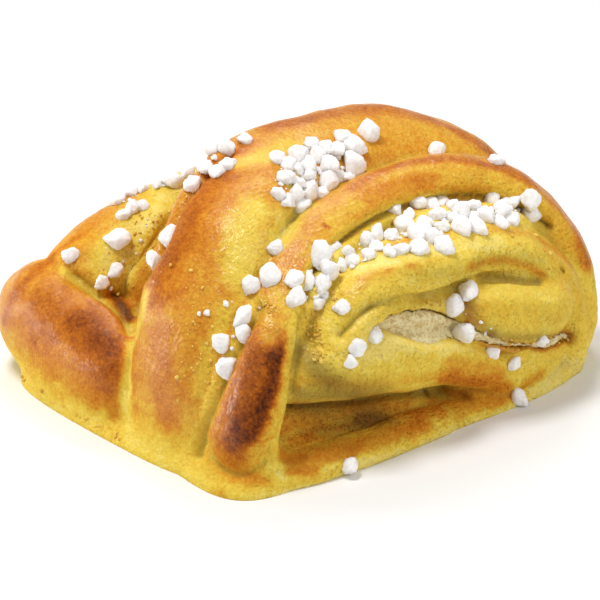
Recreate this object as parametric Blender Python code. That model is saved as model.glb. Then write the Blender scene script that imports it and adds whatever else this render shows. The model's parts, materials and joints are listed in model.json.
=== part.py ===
"""Saffron bun: a thick slice of a rolled and filled yeast dough, pressed down its middle with
a stick so that both cut faces open like ears, then strewn with pearl sugar and baked.

The roll's axis lies along X and the pressed groove runs along Y. The cut face at +X shows the
nested layers and the almond filling between them. The bun stands on its flat base, and its
origin is the middle of its box on the floor. Metres, +Z up; the sizes below are millimetres.
"""

import math
import random

import bmesh
import bpy
from mathutils import Matrix, Vector
from mathutils.bvhtree import BVHTree

MM = 0.001

# Driving dimensions, in millimetres.
CROWN_HEIGHT = 51.4        # top of the left lip, the highest point
RIGHT_LIP_HEIGHT = 46.0    # top of the lip on the cut face's side
EAR_HEIGHT = 38.5          # top of the second layer in the right ear
LEFT_EAR_HEIGHT = 37.5     # top of the left ear's rim
LEFT_VALLEY_HEIGHT = 37.5  # floor of the hollow between the left ear and the left lip
BASE_HALF_LENGTH = 50.0
BASE_HALF_WIDTH = 37.5
BASE_LIP = 5.5             # height of the thin lip that spreads on the tray
TUCK_HEIGHT = 11.0         # below this the back of the lips draws in to the floor
DOUGH_GRAIN = 1.0          # voxel that melts the rolls together
DOUGH_FACES = 6100         # faces kept for the dough
FILLING_GAP = 0.3          # clearance round the filling
WELD = 0.005               # points closer than this become one
FILLING_THICKNESS = 5.8    # at the thickest of the lens that shows
LENS_MIDDLE = 7.0          # where the lens is thickest, along Y
LENS_REACH = 8.5           # how far it thins out to each side
FILLING_EDGE = 1.3         # at the ends of the layer
NIB_POINTS = 12            # corners of one sugar nib
NIB_UNEVEN = 0.22          # how far they stray from an even spread
NIB_BLOCKY = 4.0           # 2 makes a nib a ball, more makes it a block
NIB_APART = 0.30           # share of two nibs' sizes that they keep apart
NIB_FLAT = 0.78            # its height by its size
NIB_SINK = 0.28            # share of a nib's size that sits in the dough
NIB_FLOOR = 0.6            # no nib reaches lower than this
SUGAR_SEED = 46
GOLDEN_TURN = math.pi * (3 - math.sqrt(5))

# The sugar was strewn from the side that shows: its direction, and the point it looks at.
STREWN_AZIMUTH = math.radians(52.0)
STREWN_ELEVATION = math.radians(27.0)
STREWN_DISTANCE = 700.0
STREWN_AT = Vector((2.0, 2.0, 18.0))

DOUGH_COLOUR = (0.60, 0.33, 0.055, 1.0)
FILLING_COLOUR = (0.62, 0.46, 0.20, 1.0)


def blend(values, share):
    """Value between front, crest and back for a share of the way over an arch."""
    front, crest, back = values
    start, end, way = (front, crest, 2 * share) if share < 0.5 else (crest, back, 2 * share - 1)
    way = way * way * (3 - 2 * way)
    return start + (end - start) * way


def arch_point(share, front, crest, back, height, square, flare, drop):
    """Point of an arch's centre line, from its front foot (0) to its back foot (1)."""
    angle = math.pi * share
    side = 0 if share < 0.5 else 1
    foot = back if side else front
    out = abs(math.cos(angle)) ** (2.0 / square[side])
    rise = max(math.sin(angle), 0.0) ** (2.0 / square[side])
    x = crest[0] + (foot[0] - crest[0]) * out ** flare[side]
    y = crest[1] + (foot[1] - crest[1]) * out
    return Vector((x, y, height * rise * (1 - drop * out * (1 - side))))


def tube(points, halves, tilt=0.0, ring=24):
    """Closed tube along points, with a half thickness and a half width at each."""
    verts, faces = [], []
    last = len(points) - 1
    for i, point in enumerate(points):
        along = (points[min(i + 1, last)] - points[max(i - 1, 0)]).normalized()
        side = Vector((1, 0, 0)) - along * along.x
        if side.length < 0.2:
            side = Vector((0, 1, 0)) - along * along.y
        side.normalize()
        out = side.cross(along).normalized()
        side, out = (side * math.cos(tilt) + out * math.sin(tilt),
                     out * math.cos(tilt) - side * math.sin(tilt))
        thick, wide = halves[i]
        for k in range(ring):
            turn = 2 * math.pi * k / ring
            verts.append(point + out * (thick * math.cos(turn)) + side * (wide * math.sin(turn)))
    for i in range(last):
        for k in range(ring):
            here, there = i * ring, (i + 1) * ring
            after = (k + 1) % ring
            faces.append((here + k, here + after, there + after, there + k))
    faces.append(tuple(reversed(range(ring))))
    faces.append(tuple(range(last * ring, (last + 1) * ring)))
    return verts, faces


def run_lengths(points):
    """Length from the first point to each point."""
    runs = [0.0]
    for before, after in zip(points, points[1:]):
        runs.append(runs[-1] + (after - before).length)
    return runs


def round_off(run, radius):
    """Factor that rounds a tube's end over a radius."""
    if run >= radius:
        return 1.0
    return math.sqrt(max(1e-3, 1 - (1 - run / radius) ** 2))


def arch_roll(front, crest, back, height, thick, wide, square=(2.4, 2.4), flare=(1.5, 1.5),
              drop=0.0, start=0.0, tilt=0.0, tuck=0.0, stations=60, dip=8.0):
    """Roll of dough bent over the bun from front to back.

    A start above 0 ends its front foot early, and a tuck draws its back foot in at the floor.
    """
    points, halves = [], []
    for i in range(stations + 1):
        share = start + (1 - start) * i / stations
        half = blend(thick, share) / 2
        point = arch_point(share, (front[0], front[1] + half), crest,
                           (back[0], back[1] - half), height - half, square, flare, drop)
        if share > 0.5:
            point.y -= tuck * max(0.0, 1 - point.z / TUCK_HEIGHT) ** 2
        points.append(point)
        halves.append((half, blend(wide, share) / 2))
    if start > 0:
        radius = halves[0][0] * 1.5
        shrink = [round_off(run, radius) for run in run_lengths(points)]
        halves = [(a * k, b * k) for (a, b), k in zip(halves, shrink)]
    else:
        points.insert(0, points[0] - Vector((0, 0, dip)))
        halves.insert(0, halves[0])
    points.append(points[-1] - Vector((0, 0, dip)))
    halves.append(halves[-1])
    return tube(points, halves, tilt)


def through(values, way):
    """Smooth value at a way (0..1) through a few vectors (Catmull-Rom)."""
    place = (len(values) - 1) * way
    i = min(int(place), len(values) - 2)
    t = place - i
    a, b = values[max(i - 1, 0)], values[i]
    c, d = values[i + 1], values[min(i + 2, len(values) - 1)]
    return 0.5 * (2 * b + (c - a) * t + (2 * a - 5 * b + 4 * c - d) * t ** 2
                  + (3 * b - a - 3 * c + d) * t ** 3)


def laid_roll(places, halves, spindle=None, stations=40):
    """Roll of dough laid through a few places; a spindle swells in the middle all along."""
    ways = [i / stations for i in range(stations + 1)]
    line = [Vector(place) for place in places]
    sizes = [Vector((*half, 0)) for half in halves]
    points = [through(line, way) for way in ways]
    rolled = [through(sizes, way) for way in ways]
    runs = run_lengths(points)
    out = []
    for run, size in zip(runs, rolled):
        if spindle:
            k = max(1 - abs(2 * run / runs[-1] - 1) ** spindle, 1e-4) ** (1 / spindle)
        else:
            k = round_off(run, sizes[0].x) * round_off(runs[-1] - run, sizes[-1].x)
        out.append((size.x * k, size.y * k))
    return tube(points, out)


def cushion(centre, radii, power, plan, shear=(0.0, 0.0), rings=24, segments=64):
    """Superellipsoid: power squares its side view and plan squares it seen from above."""
    def curve(value, exponent):
        return math.copysign(abs(value) ** (2.0 / exponent), value)

    verts, faces = [], []
    for i in range(rings + 1):
        rise = -math.pi / 2 + math.pi * (i + 0.02) / (rings + 0.04)
        reach = curve(math.cos(rise), power)
        for k in range(segments):
            turn = 2 * math.pi * k / segments
            x = radii[0] * reach * curve(math.cos(turn), plan)
            y = radii[1] * reach * curve(math.sin(turn), plan)
            z = radii[2] * curve(math.sin(rise), power)
            verts.append(Vector((x + shear[0] * y, y + shear[1] * x, z)) + Vector(centre))
    for i in range(rings):
        for k in range(segments):
            here, there = i * segments, (i + 1) * segments
            after = (k + 1) % segments
            faces.append((here + k, here + after, there + after, there + k))
    faces.append(tuple(reversed(range(segments))))
    faces.append(tuple(range(rings * segments, (rings + 1) * segments)))
    return verts, faces


def dough_rolls():
    """Every roll and fold of the dough, overlapping, before they melt into one body."""
    rolls = {}
    rolls["base"] = cushion((0, 6.5, 0), (BASE_HALF_WIDTH, BASE_HALF_LENGTH, BASE_LIP),
                            2.6, 3.8, shear=(0.03, 0.1))
    rolls["base_edge"] = laid_roll([(14, -36, 1), (30.5, -28, 1.5), (34, -10, 1.5),
                                    (34.5, 14, 1.5)], [(3.5, 5), (3.5, 5), (3.5, 4.8), (3, 4)])
    rolls["base_front_right"] = cushion((19.5, -24, 0), (17, 16.4, 6), 2.6, 3.2)
    rolls["base_front_left"] = cushion((-20.5, -27.3, 0), (17, 17.4, 12), 4.0, 3.2)
    rolls["heart"] = cushion((5, 10, 4), (24, 43, 32), 2.6, 3.2)
    rolls["pressed_strip"] = arch_roll((13, -33), (4, 14), (13, 57), 45, (14, 14, 14),
                                       (14, 22, 24), square=(2.5, 2.6), flare=(1.3, 3),
                                       tuck=3)
    rolls["right_lip"] = arch_roll((25.5, -37.5), (13, 19), (24.5, 60), RIGHT_LIP_HEIGHT,
                                   (11, 9, 11), (19, 13, 16), square=(2.3, 2.8),
                                   flare=(1.7, 2.5), tilt=-0.3, tuck=4)
    rolls["left_lip"] = arch_roll((11, -40.5), (-4, 0), (9, 61.5), CROWN_HEIGHT,
                                  (15, 11, 12), (28, 22, 24), square=(2.2, 3.0),
                                  flare=(1.15, 4), tilt=-0.2, tuck=4)
    rolls["left_valley"] = arch_roll((-16, -29), (-19, 16), (-12, 56), LEFT_VALLEY_HEIGHT,
                                     (12, 12, 12), (22, 24, 16), square=(3.0, 2.4),
                                     drop=0.12, tuck=3)
    rolls["left_rim"] = arch_roll((-30, -39), (-28, 18), (-26, 53), LEFT_EAR_HEIGHT,
                                  (16, 11, 12), (22, 14, 16), square=(4.5, 2.4), drop=0.14,
                                  tuck=3)
    rolls["left_lobe"] = laid_roll([(-44.5, -34, 8.8), (-34, -33.5, 10.2), (-20, -33, 9.6),
                                    (1, -33, 6.6)],
                                   [(13, 11), (13.2, 11.5), (11.7, 11.5), (11, 12)],
                                   spindle=3.4)
    rolls["second_layer"] = arch_roll((27.5, -21), (24.5, 13), (26, 55), EAR_HEIGHT,
                                      (11, 12, 12), (15, 19, 18), square=(2.9, 2.5),
                                      start=0.12, tuck=2)
    rolls["ledge"] = laid_roll([(19, 4, 31), (20, 18, 35.5), (21, 34, 33.5), (21, 50, 24)],
                               [(4, 5), (4.5, 6), (4.5, 6), (4, 5)])
    rolls["back_fold"] = laid_roll([(31, 16, 25), (32.5, 28, 20), (31, 46, 16)],
                                   [(5.5, 6), (7.5, 8), (7, 7)])
    rolls["front_fold"] = laid_roll([(20, -27, 19), (26.5, -18, 19.5), (30, -8, 18.8),
                                     (31, 3, 17), (31.5, 13, 14), (32, 23, 9), (32, 32, 4.5)],
                                    [(6, 7), (6.5, 7), (7, 7), (7, 7), (6, 6.5), (4.5, 5), (4, 4)])
    rolls["mouth"] = laid_roll([(27, -10, 25), (28.5, 0, 26), (29, 11, 26), (29, 21, 22)],
                               [(3, 3), (4, 4.5), (5, 5), (5, 5)])
    rolls["low_wall"] = laid_roll([(17, -31, 6), (21, -8, 6), (24, 14, 5), (27, 30, 5)],
                                  [(8, 8), (8, 8), (7.5, 7.5), (7, 7)])
    rolls["low_back_fold"] = laid_roll([(28.5, 22, 5), (30, 35, 6), (24, 46, 6)],
                                       [(7, 7), (8, 7.5), (7, 8)])
    rolls["far_back_fold"] = laid_roll([(-28, 10, 22), (-30, 26, 18), (-29, 42, 13)],
                                       [(5, 6), (7, 7), (6, 6)])
    rolls["far_front_fold"] = laid_roll([(-27, -20, 17), (-29, -6, 18), (-30, 8, 14),
                                         (-30, 22, 8)], [(6, 7), (7, 7), (7, 7), (5, 6)])
    rolls["far_low_fold"] = laid_roll([(-27, -6, 4), (-28, 18, 4), (-27, 44, 6)],
                                      [(5, 6), (5, 7), (7, 7)])
    return rolls


def new_object(name, verts, faces):
    """Object from points in millimetres."""
    mesh = bpy.data.meshes.new(name)
    mesh.from_pydata([tuple(vert * MM) for vert in verts], [], faces)
    mesh.update()
    obj = bpy.data.objects.new(name, mesh)
    bpy.context.scene.collection.objects.link(obj)
    return obj


def apply_modifiers(obj):
    """Turn what the modifiers make into the object's own mesh."""
    graph = bpy.context.evaluated_depsgraph_get()
    mesh = bpy.data.meshes.new_from_object(obj.evaluated_get(graph))
    obj.modifiers.clear()
    old = obj.data
    obj.data = mesh
    bpy.data.meshes.remove(old)


def cut_at_floor(obj):
    """Slice the mesh off at the floor and close it with a flat base."""
    bm = bmesh.new()
    bm.from_mesh(obj.data)
    bmesh.ops.bisect_plane(bm, geom=bm.verts[:] + bm.edges[:] + bm.faces[:], dist=1e-6,
                           plane_co=(0, 0, 0), plane_no=(0, 0, -1), clear_outer=True)
    bmesh.ops.holes_fill(bm, edges=[edge for edge in bm.edges if edge.is_boundary], sides=0)
    bmesh.ops.recalc_face_normals(bm, faces=bm.faces)
    bm.to_mesh(obj.data)
    bm.free()


def make_dough():
    """Melt the rolls into one soft body with a flat base."""
    verts, faces = [], []
    for roll_verts, roll_faces in dough_rolls().values():
        start = len(verts)
        verts += roll_verts
        faces += [tuple(start + i for i in face) for face in roll_faces]
    dough = new_object("bun", verts, faces)
    melt = dough.modifiers.new("melt", "REMESH")
    melt.mode = "VOXEL"
    melt.voxel_size = DOUGH_GRAIN * MM
    soften = dough.modifiers.new("soften", "SMOOTH")
    soften.factor = 0.5
    soften.iterations = 4
    apply_modifiers(dough)
    thin = dough.modifiers.new("thin", "DECIMATE")
    thin.ratio = DOUGH_FACES / (2 * len(dough.data.polygons))
    apply_modifiers(dough)
    cut_at_floor(dough)
    return dough


def filling_layer(name, grow):
    """The filling's curved layer along X, thicker where the ear opens, grown by a clearance."""
    line = [Vector((0, y, z)) for y, z in
            ((-6, 26.4), (-1, 25.8), (7, 23.4), (15, 20.4), (24, 16.2), (36, 10.8), (46, 8.6))]
    steps = 30
    upper, lower = [], []
    for i in range(steps + 1):
        way = i / steps
        here = through(line, way)
        along = (through(line, min(way + 0.01, 1)) - through(line, max(way - 0.01, 0))).normalized()
        out = Vector((0, -along.z, along.y))
        swell = math.exp(-((here.y - LENS_MIDDLE) / LENS_REACH) ** 2)
        half = (FILLING_EDGE + (FILLING_THICKNESS - FILLING_EDGE) * swell) / 2 + grow
        reach = along * grow * (-1 if i == 0 else 1 if i == steps else 0)
        upper.append(here + out * half + reach)
        lower.append(here - out * half + reach)
    outline = upper + lower[::-1]
    count = len(outline)
    half_run = 60.0 + grow
    verts = [point + Vector((x, 0, 0)) for x in (-half_run, half_run) for point in outline]
    faces = [(i, (i + 1) % count, count + (i + 1) % count, count + i) for i in range(count)]
    faces += [tuple(reversed(range(count))), tuple(range(count, 2 * count))]
    layer = new_object(name, verts, faces)
    bm = bmesh.new()
    bm.from_mesh(layer.data)
    bmesh.ops.recalc_face_normals(bm, faces=bm.faces)
    bm.to_mesh(layer.data)
    bm.free()
    return layer


def combine(obj, other, operation):
    """Boolean of two objects, applied."""
    cut = obj.modifiers.new(operation.lower(), "BOOLEAN")
    cut.operation = operation
    cut.object = other
    apply_modifiers(obj)


def keep_largest_body(obj):
    """Drop loose scraps and shut-in hollows: keep the one body with the largest volume."""
    bm = bmesh.new()
    bm.from_mesh(obj.data)
    bmesh.ops.remove_doubles(bm, verts=bm.verts, dist=WELD * MM)
    bmesh.ops.triangulate(bm, faces=bm.faces)
    unseen = set(bm.faces)
    bodies = []
    while unseen:
        edge_of = [unseen.pop()]
        body = set(edge_of)
        while edge_of:
            face = edge_of.pop()
            for edge in face.edges:
                for other in edge.link_faces:
                    if other in unseen:
                        unseen.remove(other)
                        body.add(other)
                        edge_of.append(other)
        volume = sum(f.verts[0].co.dot(f.verts[1].co.cross(f.verts[2].co)) / 6 for f in body)
        bodies.append((volume, body))
    bodies.sort(key=lambda entry: entry[0], reverse=True)
    scraps = [face for volume, body in bodies[1:] for face in body]
    bmesh.ops.delete(bm, geom=scraps, context="FACES")
    bmesh.ops.delete(bm, geom=[vert for vert in bm.verts if not vert.link_faces], context="VERTS")
    bm.to_mesh(obj.data)
    bm.free()


def strewn_ray(across, up):
    """Ray from the strewn side through a place across and above the point it looks at."""
    back = Vector((math.sin(STREWN_AZIMUTH) * math.cos(STREWN_ELEVATION),
                   -math.cos(STREWN_AZIMUTH) * math.cos(STREWN_ELEVATION),
                   math.sin(STREWN_ELEVATION)))
    right = Vector((math.cos(STREWN_AZIMUTH), math.sin(STREWN_AZIMUTH), 0))
    eye = STREWN_AT + back * STREWN_DISTANCE
    place = STREWN_AT + right * across + back.cross(right) * up
    return eye, (place - eye).normalized()


# Drifts of nibs: the line they lie along (across, up), its half breadth, count and mean size.
DRIFTS = (
    ([(1, 1), (6, 6), (12, 10), (20, 12), (27, 13)], 2.8, 26, 4.0),
    ([(24, 18), (30, 16), (37, 17), (45, 18.5)], 2.8, 20, 4.0),
    ([(-3, 26), (3, 28.5), (9, 28.8)], 2.2, 13, 4.4),
    ([(-3, 20), (2, 23.5), (8, 25.5)], 2.4, 12, 4.2),
    ([(-36, 19), (-29, 23), (-22, 25.5), (-15, 28.5)], 2.6, 20, 3.8),
)

# Single nibs: across, up and size.
SINGLES = (
    (8.4, 32.2, 3.8), (13.4, 33.2, 5.0), (27.0, 29.8, 3.8), (39.2, 27.6, 3.2), (-11.2, 31.8, 3.2),
    (-45.6, 8.8, 3.8), (-36.2, 12.2, 5.2), (-26.0, 12.8, 4.4), (-39.6, 3.6, 3.6),
    (-37.0, 6.0, 3.6), (-29.0, 8.0, 3.4), (-5.2, 10.0, 4.2), (-5.6, 5.0, 4.4), (-10.0, 3.0, 4.0),
    (-11.2, -3.2, 4.4), (-11.4, -6.6, 3.6), (-15.8, -8.6, 4.6), (-14.6, -13.6, 4.2),
    (18.8, 18.0, 3.4), (33.8, 1.8, 4.4), (30.6, -1.0, 4.4), (32.8, -6.4, 4.2),
    (38.4, -9.8, 4.0), (42.6, -12.6, 2.8), (48.2, -7.8, 3.0), (14.4, -7.4, 4.2),
    (11.0, -9.4, 3.6), (10.0, -12.4, 3.4), (43.8, -19.8, 3.8), (8.4, -1.4, 3.2),
    (9.8, -33.0, 4.0),
)


def nib_places():
    """Where each sugar nib lies: across, up and size, the drifts filled by seeded draws."""
    draw = random.Random(SUGAR_SEED)
    places = list(SINGLES)
    for line, breadth, count, mean in DRIFTS:
        path = [Vector((*place, 0)) for place in line]
        kept = 0
        for _ in range(count * 60):
            if kept == count:
                break
            here = through(path, draw.random())
            across = here.x + draw.uniform(-breadth, breadth)
            up = here.y + draw.uniform(-breadth, breadth)
            size = mean * draw.uniform(0.72, 1.25)
            if all(math.hypot(across - a, up - u) > NIB_APART * (size + s) for a, u, s in places):
                places.append((across, up, size))
                kept += 1
    return places


def nib_corners(draw):
    """Corners of a nib about 1 across: spread evenly round a squared ball, then unevened."""
    corners = []
    turn = draw.uniform(0, math.tau)
    for number in range(NIB_POINTS):
        height = 1 - (2 * number + 1) / NIB_POINTS
        around = turn + number * GOLDEN_TURN
        reach = math.sqrt(1 - height * height)
        corner = Vector((reach * math.cos(around), reach * math.sin(around), height))
        corner += Vector([draw.gauss(0, NIB_UNEVEN) for _ in range(3)])
        corner /= sum(abs(side) ** NIB_BLOCKY for side in corner) ** (1 / NIB_BLOCKY)
        corners.append(corner * draw.uniform(0.44, 0.56))
    return corners


def strew_sugar(dough, filling):
    """Collection of sugar nibs that sit in the dough, clear of the filling."""
    surface = BVHTree.FromObject(dough, bpy.context.evaluated_depsgraph_get())
    inside = BVHTree.FromObject(filling, bpy.context.evaluated_depsgraph_get())
    draw = random.Random(SUGAR_SEED + 1)
    sugar = bpy.data.collections.new("sugar")
    bpy.context.scene.collection.children.link(sugar)
    for number, (across, up, size) in enumerate(nib_places()):
        eye, toward = strewn_ray(across, up)
        hit, normal, _, _ = surface.ray_cast(eye * MM, toward)
        stretch = Vector((draw.uniform(0.85, 1.25), draw.uniform(0.8, 1.05), NIB_FLAT)) * size
        corners = nib_corners(draw)
        turn = Matrix.Rotation(draw.uniform(0, math.tau), 3, "Z")
        if hit is None or inside.find_nearest(hit)[3] < (size * NIB_FLAT + 0.4) * MM:
            continue
        pose = normal.to_track_quat("Z", "Y").to_matrix() @ turn
        centre = hit / MM + normal * size * 0.5 * (NIB_FLAT - 2 * NIB_SINK)
        bm = bmesh.new()
        for corner in corners:
            place = centre + pose @ (corner * stretch)
            bm.verts.new((place.x * MM, place.y * MM, max(place.z, NIB_FLOOR) * MM))
        hull = bmesh.ops.convex_hull(bm, input=bm.verts)
        inner = [geom for geom in hull["geom_interior"] if isinstance(geom, bmesh.types.BMVert)]
        bmesh.ops.delete(bm, geom=inner, context="VERTS")
        bmesh.ops.recalc_face_normals(bm, faces=bm.faces)
        mesh = bpy.data.meshes.new(f"nib_{number}")
        bm.to_mesh(mesh)
        bm.free()
        sugar.objects.link(bpy.data.objects.new(f"nib_{number}", mesh))
    return sugar


def fuse_sugar(dough, sugar):
    """Join the nibs to the dough and remove the loose ones."""
    join = dough.modifiers.new("sugar", "BOOLEAN")
    join.operation = "UNION"
    join.operand_type = "COLLECTION"
    join.collection = sugar
    join.solver = "MANIFOLD"
    apply_modifiers(dough)
    for nib in list(sugar.objects):
        bpy.data.objects.remove(nib)
    bpy.data.collections.remove(sugar)
    keep_largest_body(dough)


def colour(obj, name, base_colour, roughness):
    """Give an object its one material."""
    material = bpy.data.materials.new(name)
    material.use_nodes = True
    shader = material.node_tree.nodes["Principled BSDF"]
    shader.inputs["Base Color"].default_value = base_colour
    shader.inputs["Roughness"].default_value = roughness
    shader.inputs["Metallic"].default_value = 0.0
    obj.data.materials.clear()
    obj.data.materials.append(material)
    obj.data.shade_smooth()
    obj.data.set_sharp_from_angle(angle=math.radians(50))


def centre_on_floor(objects):
    """Move the meshes so that the origin is the middle of their box, on the floor."""
    points = [vert.co for obj in objects for vert in obj.data.vertices]
    low = [min(point[i] for point in points) for i in range(3)]
    high = [max(point[i] for point in points) for i in range(3)]
    shift = Matrix.Translation((-(low[0] + high[0]) / 2, -(low[1] + high[1]) / 2, -low[2]))
    for obj in objects:
        obj.data.transform(shift)
    return shift.translation


def build():
    """Make the bun and its filling."""
    for obj in list(bpy.data.objects):
        bpy.data.objects.remove(obj)
    dough = make_dough()
    filling = filling_layer("filling", 0.0)
    combine(filling, dough, "INTERSECT")
    keep_largest_body(filling)
    slot = filling_layer("slot", FILLING_GAP)
    combine(dough, slot, "DIFFERENCE")
    bpy.data.objects.remove(slot)
    keep_largest_body(dough)
    fuse_sugar(dough, strew_sugar(dough, filling))
    moved = centre_on_floor([dough, filling])
    colour(dough, "saffron_dough", DOUGH_COLOUR, 0.5)
    colour(filling, "almond_filling", FILLING_COLOUR, 0.8)
    return moved


build()
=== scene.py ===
"""Looks of a saffron bun: fine dough with browned and glazed crust, almond paste and pearl sugar.

The dough is laid out in millimetres from the same rolls as the solid model, with the roll's axis
along X and the pressed groove along Y, and is moved into the model's frame at the end.
"""

from __future__ import annotations

import json
import logging
import math
import random
from collections.abc import Iterable
from dataclasses import dataclass, field
from enum import Enum

import bmesh
import bpy
import numpy as np
from mathutils import Matrix, Vector, noise
from mathutils.bvhtree import BVHTree

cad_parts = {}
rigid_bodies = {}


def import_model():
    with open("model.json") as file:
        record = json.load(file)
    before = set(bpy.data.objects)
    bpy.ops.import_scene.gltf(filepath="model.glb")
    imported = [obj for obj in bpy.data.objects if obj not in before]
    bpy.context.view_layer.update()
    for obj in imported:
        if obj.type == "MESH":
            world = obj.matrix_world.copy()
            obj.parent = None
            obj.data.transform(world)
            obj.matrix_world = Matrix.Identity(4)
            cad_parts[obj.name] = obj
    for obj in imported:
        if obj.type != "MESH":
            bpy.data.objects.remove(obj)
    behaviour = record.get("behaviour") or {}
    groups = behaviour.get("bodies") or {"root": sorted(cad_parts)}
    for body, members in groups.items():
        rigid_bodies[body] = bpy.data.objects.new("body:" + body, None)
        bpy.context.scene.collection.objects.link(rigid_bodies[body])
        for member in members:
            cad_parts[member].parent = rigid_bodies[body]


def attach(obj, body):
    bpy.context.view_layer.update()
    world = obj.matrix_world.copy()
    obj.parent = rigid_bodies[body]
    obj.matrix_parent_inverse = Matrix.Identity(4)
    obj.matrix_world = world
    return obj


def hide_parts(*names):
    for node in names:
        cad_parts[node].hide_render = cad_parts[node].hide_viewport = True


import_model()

LOG = logging.getLogger("saffron_bun")
MM = 0.001
LAYOUT_SHIFT = Vector((2.22, -8.43, 0.0))  # from the rolls' layout to the model's frame, mm
NOISE_MEAN = 0.5

Pair = tuple[float, float]
Triple = tuple[float, float, float]
Line = tuple[Pair, ...]
MeshData = tuple[list[Vector], list[tuple[int, ...]]]
Object = bpy.types.Object
Socket = bpy.types.NodeSocket


# ---- Rolls of dough ----

def through(values: list[Vector], way: float) -> Vector:
    """Find the value at a way along the smooth curve through a few vectors.

    Args:
        values: the vectors passed through.
        way: 0 at the first and 1 at the last.

    Returns:
        The vector there.
    """
    place = (len(values) - 1) * way
    i = min(int(place), len(values) - 2)
    t = place - i
    a, b = values[max(i - 1, 0)], values[i]
    c, d = values[i + 1], values[min(i + 2, len(values) - 1)]
    return 0.5 * (2 * b + (c - a) * t + (2 * a - 5 * b + 4 * c - d) * t ** 2
                  + (3 * b - a - 3 * c + d) * t ** 3)


def flat(line: Line) -> list[Vector]:
    """Turn a line's places into vectors."""
    return [Vector((*place, 0)) for place in line]


def run_lengths(points: list[Vector]) -> list[float]:
    """Measure a line.

    Args:
        points: the line's points.

    Returns:
        The length from the first point to each point.
    """
    runs = [0.0]
    for before, after in zip(points, points[1:]):
        runs.append(runs[-1] + (after - before).length)
    return runs


def round_off(run: float, radius: float) -> float:
    """Find a tube's size at run from its end, which is rounded over radius, as a factor."""
    least = 1e-3  # keeps the end from closing to a point
    return 1.0 if run >= radius else math.sqrt(max(least, 1 - (1 - run / radius) ** 2))


def skin(rings: int, ring: int) -> list[tuple[int, ...]]:
    """Cover rings of points with faces and cap both ends.

    Args:
        rings: how many rings there are.
        ring: points in each.

    Returns:
        The faces.
    """
    faces: list[tuple[int, ...]] = []
    for here in range(0, (rings - 1) * ring, ring):
        for k in range(ring):
            after = (k + 1) % ring
            faces.append((here + k, here + after, here + ring + after, here + ring + k))
    faces.append(tuple(reversed(range(ring))))
    faces.append(tuple(range((rings - 1) * ring, rings * ring)))
    return faces


def tube(points: list[Vector], halves: list[Pair], tilt: float = 0.0, ring: int = 32) -> MeshData:
    """Make a closed tube along points.

    Args:
        points: centre line.
        halves: half thickness and half width at each point.
        tilt: turn of the section about the line, in radians.
        ring: points round the section.

    Returns:
        The tube's points and faces.
    """
    steepest = 0.2  # below this the line runs nearly along X, and Y is its side
    verts: list[Vector] = []
    for i, (point, (thick, wide)) in enumerate(zip(points, halves)):
        along = (points[min(i + 1, len(points) - 1)] - points[max(i - 1, 0)]).normalized()
        side = Vector((1, 0, 0)) - along * along.x
        if side.length < steepest:
            side = Vector((0, 1, 0)) - along * along.y
        side.normalize()
        out = side.cross(along).normalized()
        side, out = (side * math.cos(tilt) + out * math.sin(tilt),
                     out * math.cos(tilt) - side * math.sin(tilt))
        for k in range(ring):
            turn = 2 * math.pi * k / ring
            verts.append(point + out * (thick * math.cos(turn)) + side * (wide * math.sin(turn)))
    return verts, skin(len(points), ring)


@dataclass(frozen=True)
class ArchRoll:
    """Roll of dough bent over the bun, from a front foot over a crest to a back foot."""

    front: Pair
    crest: Pair
    back: Pair
    height: float
    thick: Triple
    wide: Triple
    square: Pair = (2.4, 2.4)  # 2 is round and more is squarer, in front and behind
    flare: Pair = (1.5, 1.5)  # how late the roll leaves the crest's X, in front and behind
    drop: float = 0.0  # share of its height lost in front
    start: float = 0.0  # share of the arch left off in front
    tilt: float = 0.0
    tuck: float = 0.0  # how far the back foot is drawn in
    tuck_height: float = 11.0
    stations: int = 90
    dip: float = 8.0  # how far its feet reach below the floor
    blunt: float = 1.5  # length of a rounded start, in half thicknesses

    @staticmethod
    def blend(values: Triple, share: float) -> float:
        """Blend a size over the arch.

        Args:
            values: size at the front, the crest and the back.
            share: share of the way over the arch.

        Returns:
            The size there.
        """
        front, crest, back = values
        start, end, way = ((front, crest, 2 * share) if share < 0.5
                           else (crest, back, 2 * share - 1))
        return start + (end - start) * way * way * (3 - 2 * way)

    def centre(self, share: float) -> Vector:
        """Find the roll's centre line.

        Args:
            share: 0 at the front foot and 1 at the back foot.

        Returns:
            The point there.
        """
        half = self.blend(self.thick, share) / 2
        behind = int(share >= 0.5)
        foot_x, foot_y = (self.front, self.back)[behind]
        foot_y += (half, -half)[behind]
        angle = math.pi * share
        power = 2.0 / self.square[behind]
        out = abs(math.cos(angle)) ** power
        rise = max(math.sin(angle), 0.0) ** power
        x = self.crest[0] + (foot_x - self.crest[0]) * out ** self.flare[behind]
        y = self.crest[1] + (foot_y - self.crest[1]) * out
        z = (self.height - half) * rise * (1 - self.drop * out * (1 - behind))
        y -= behind * self.tuck * max(0.0, 1 - z / self.tuck_height) ** 2
        return Vector((x, y, z))

    def mesh(self) -> MeshData:
        """Make the roll.

        Returns:
            Its points and faces.
        """
        shares = [self.start + (1 - self.start) * i / self.stations for i in range(self.stations + 1)]
        points = [self.centre(share) for share in shares]
        halves = [(self.blend(self.thick, share) / 2, self.blend(self.wide, share) / 2)
                  for share in shares]
        below = Vector((0, 0, self.dip))
        if self.start > 0:
            radius = halves[0][0] * self.blunt
            shrink = [round_off(run, radius) for run in run_lengths(points)]
            halves = [(a * k, b * k) for (a, b), k in zip(halves, shrink)]
        else:
            points.insert(0, points[0] - below)
            halves.insert(0, halves[0])
        points.append(points[-1] - below)
        halves.append(halves[-1])
        return tube(points, halves, self.tilt)


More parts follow.
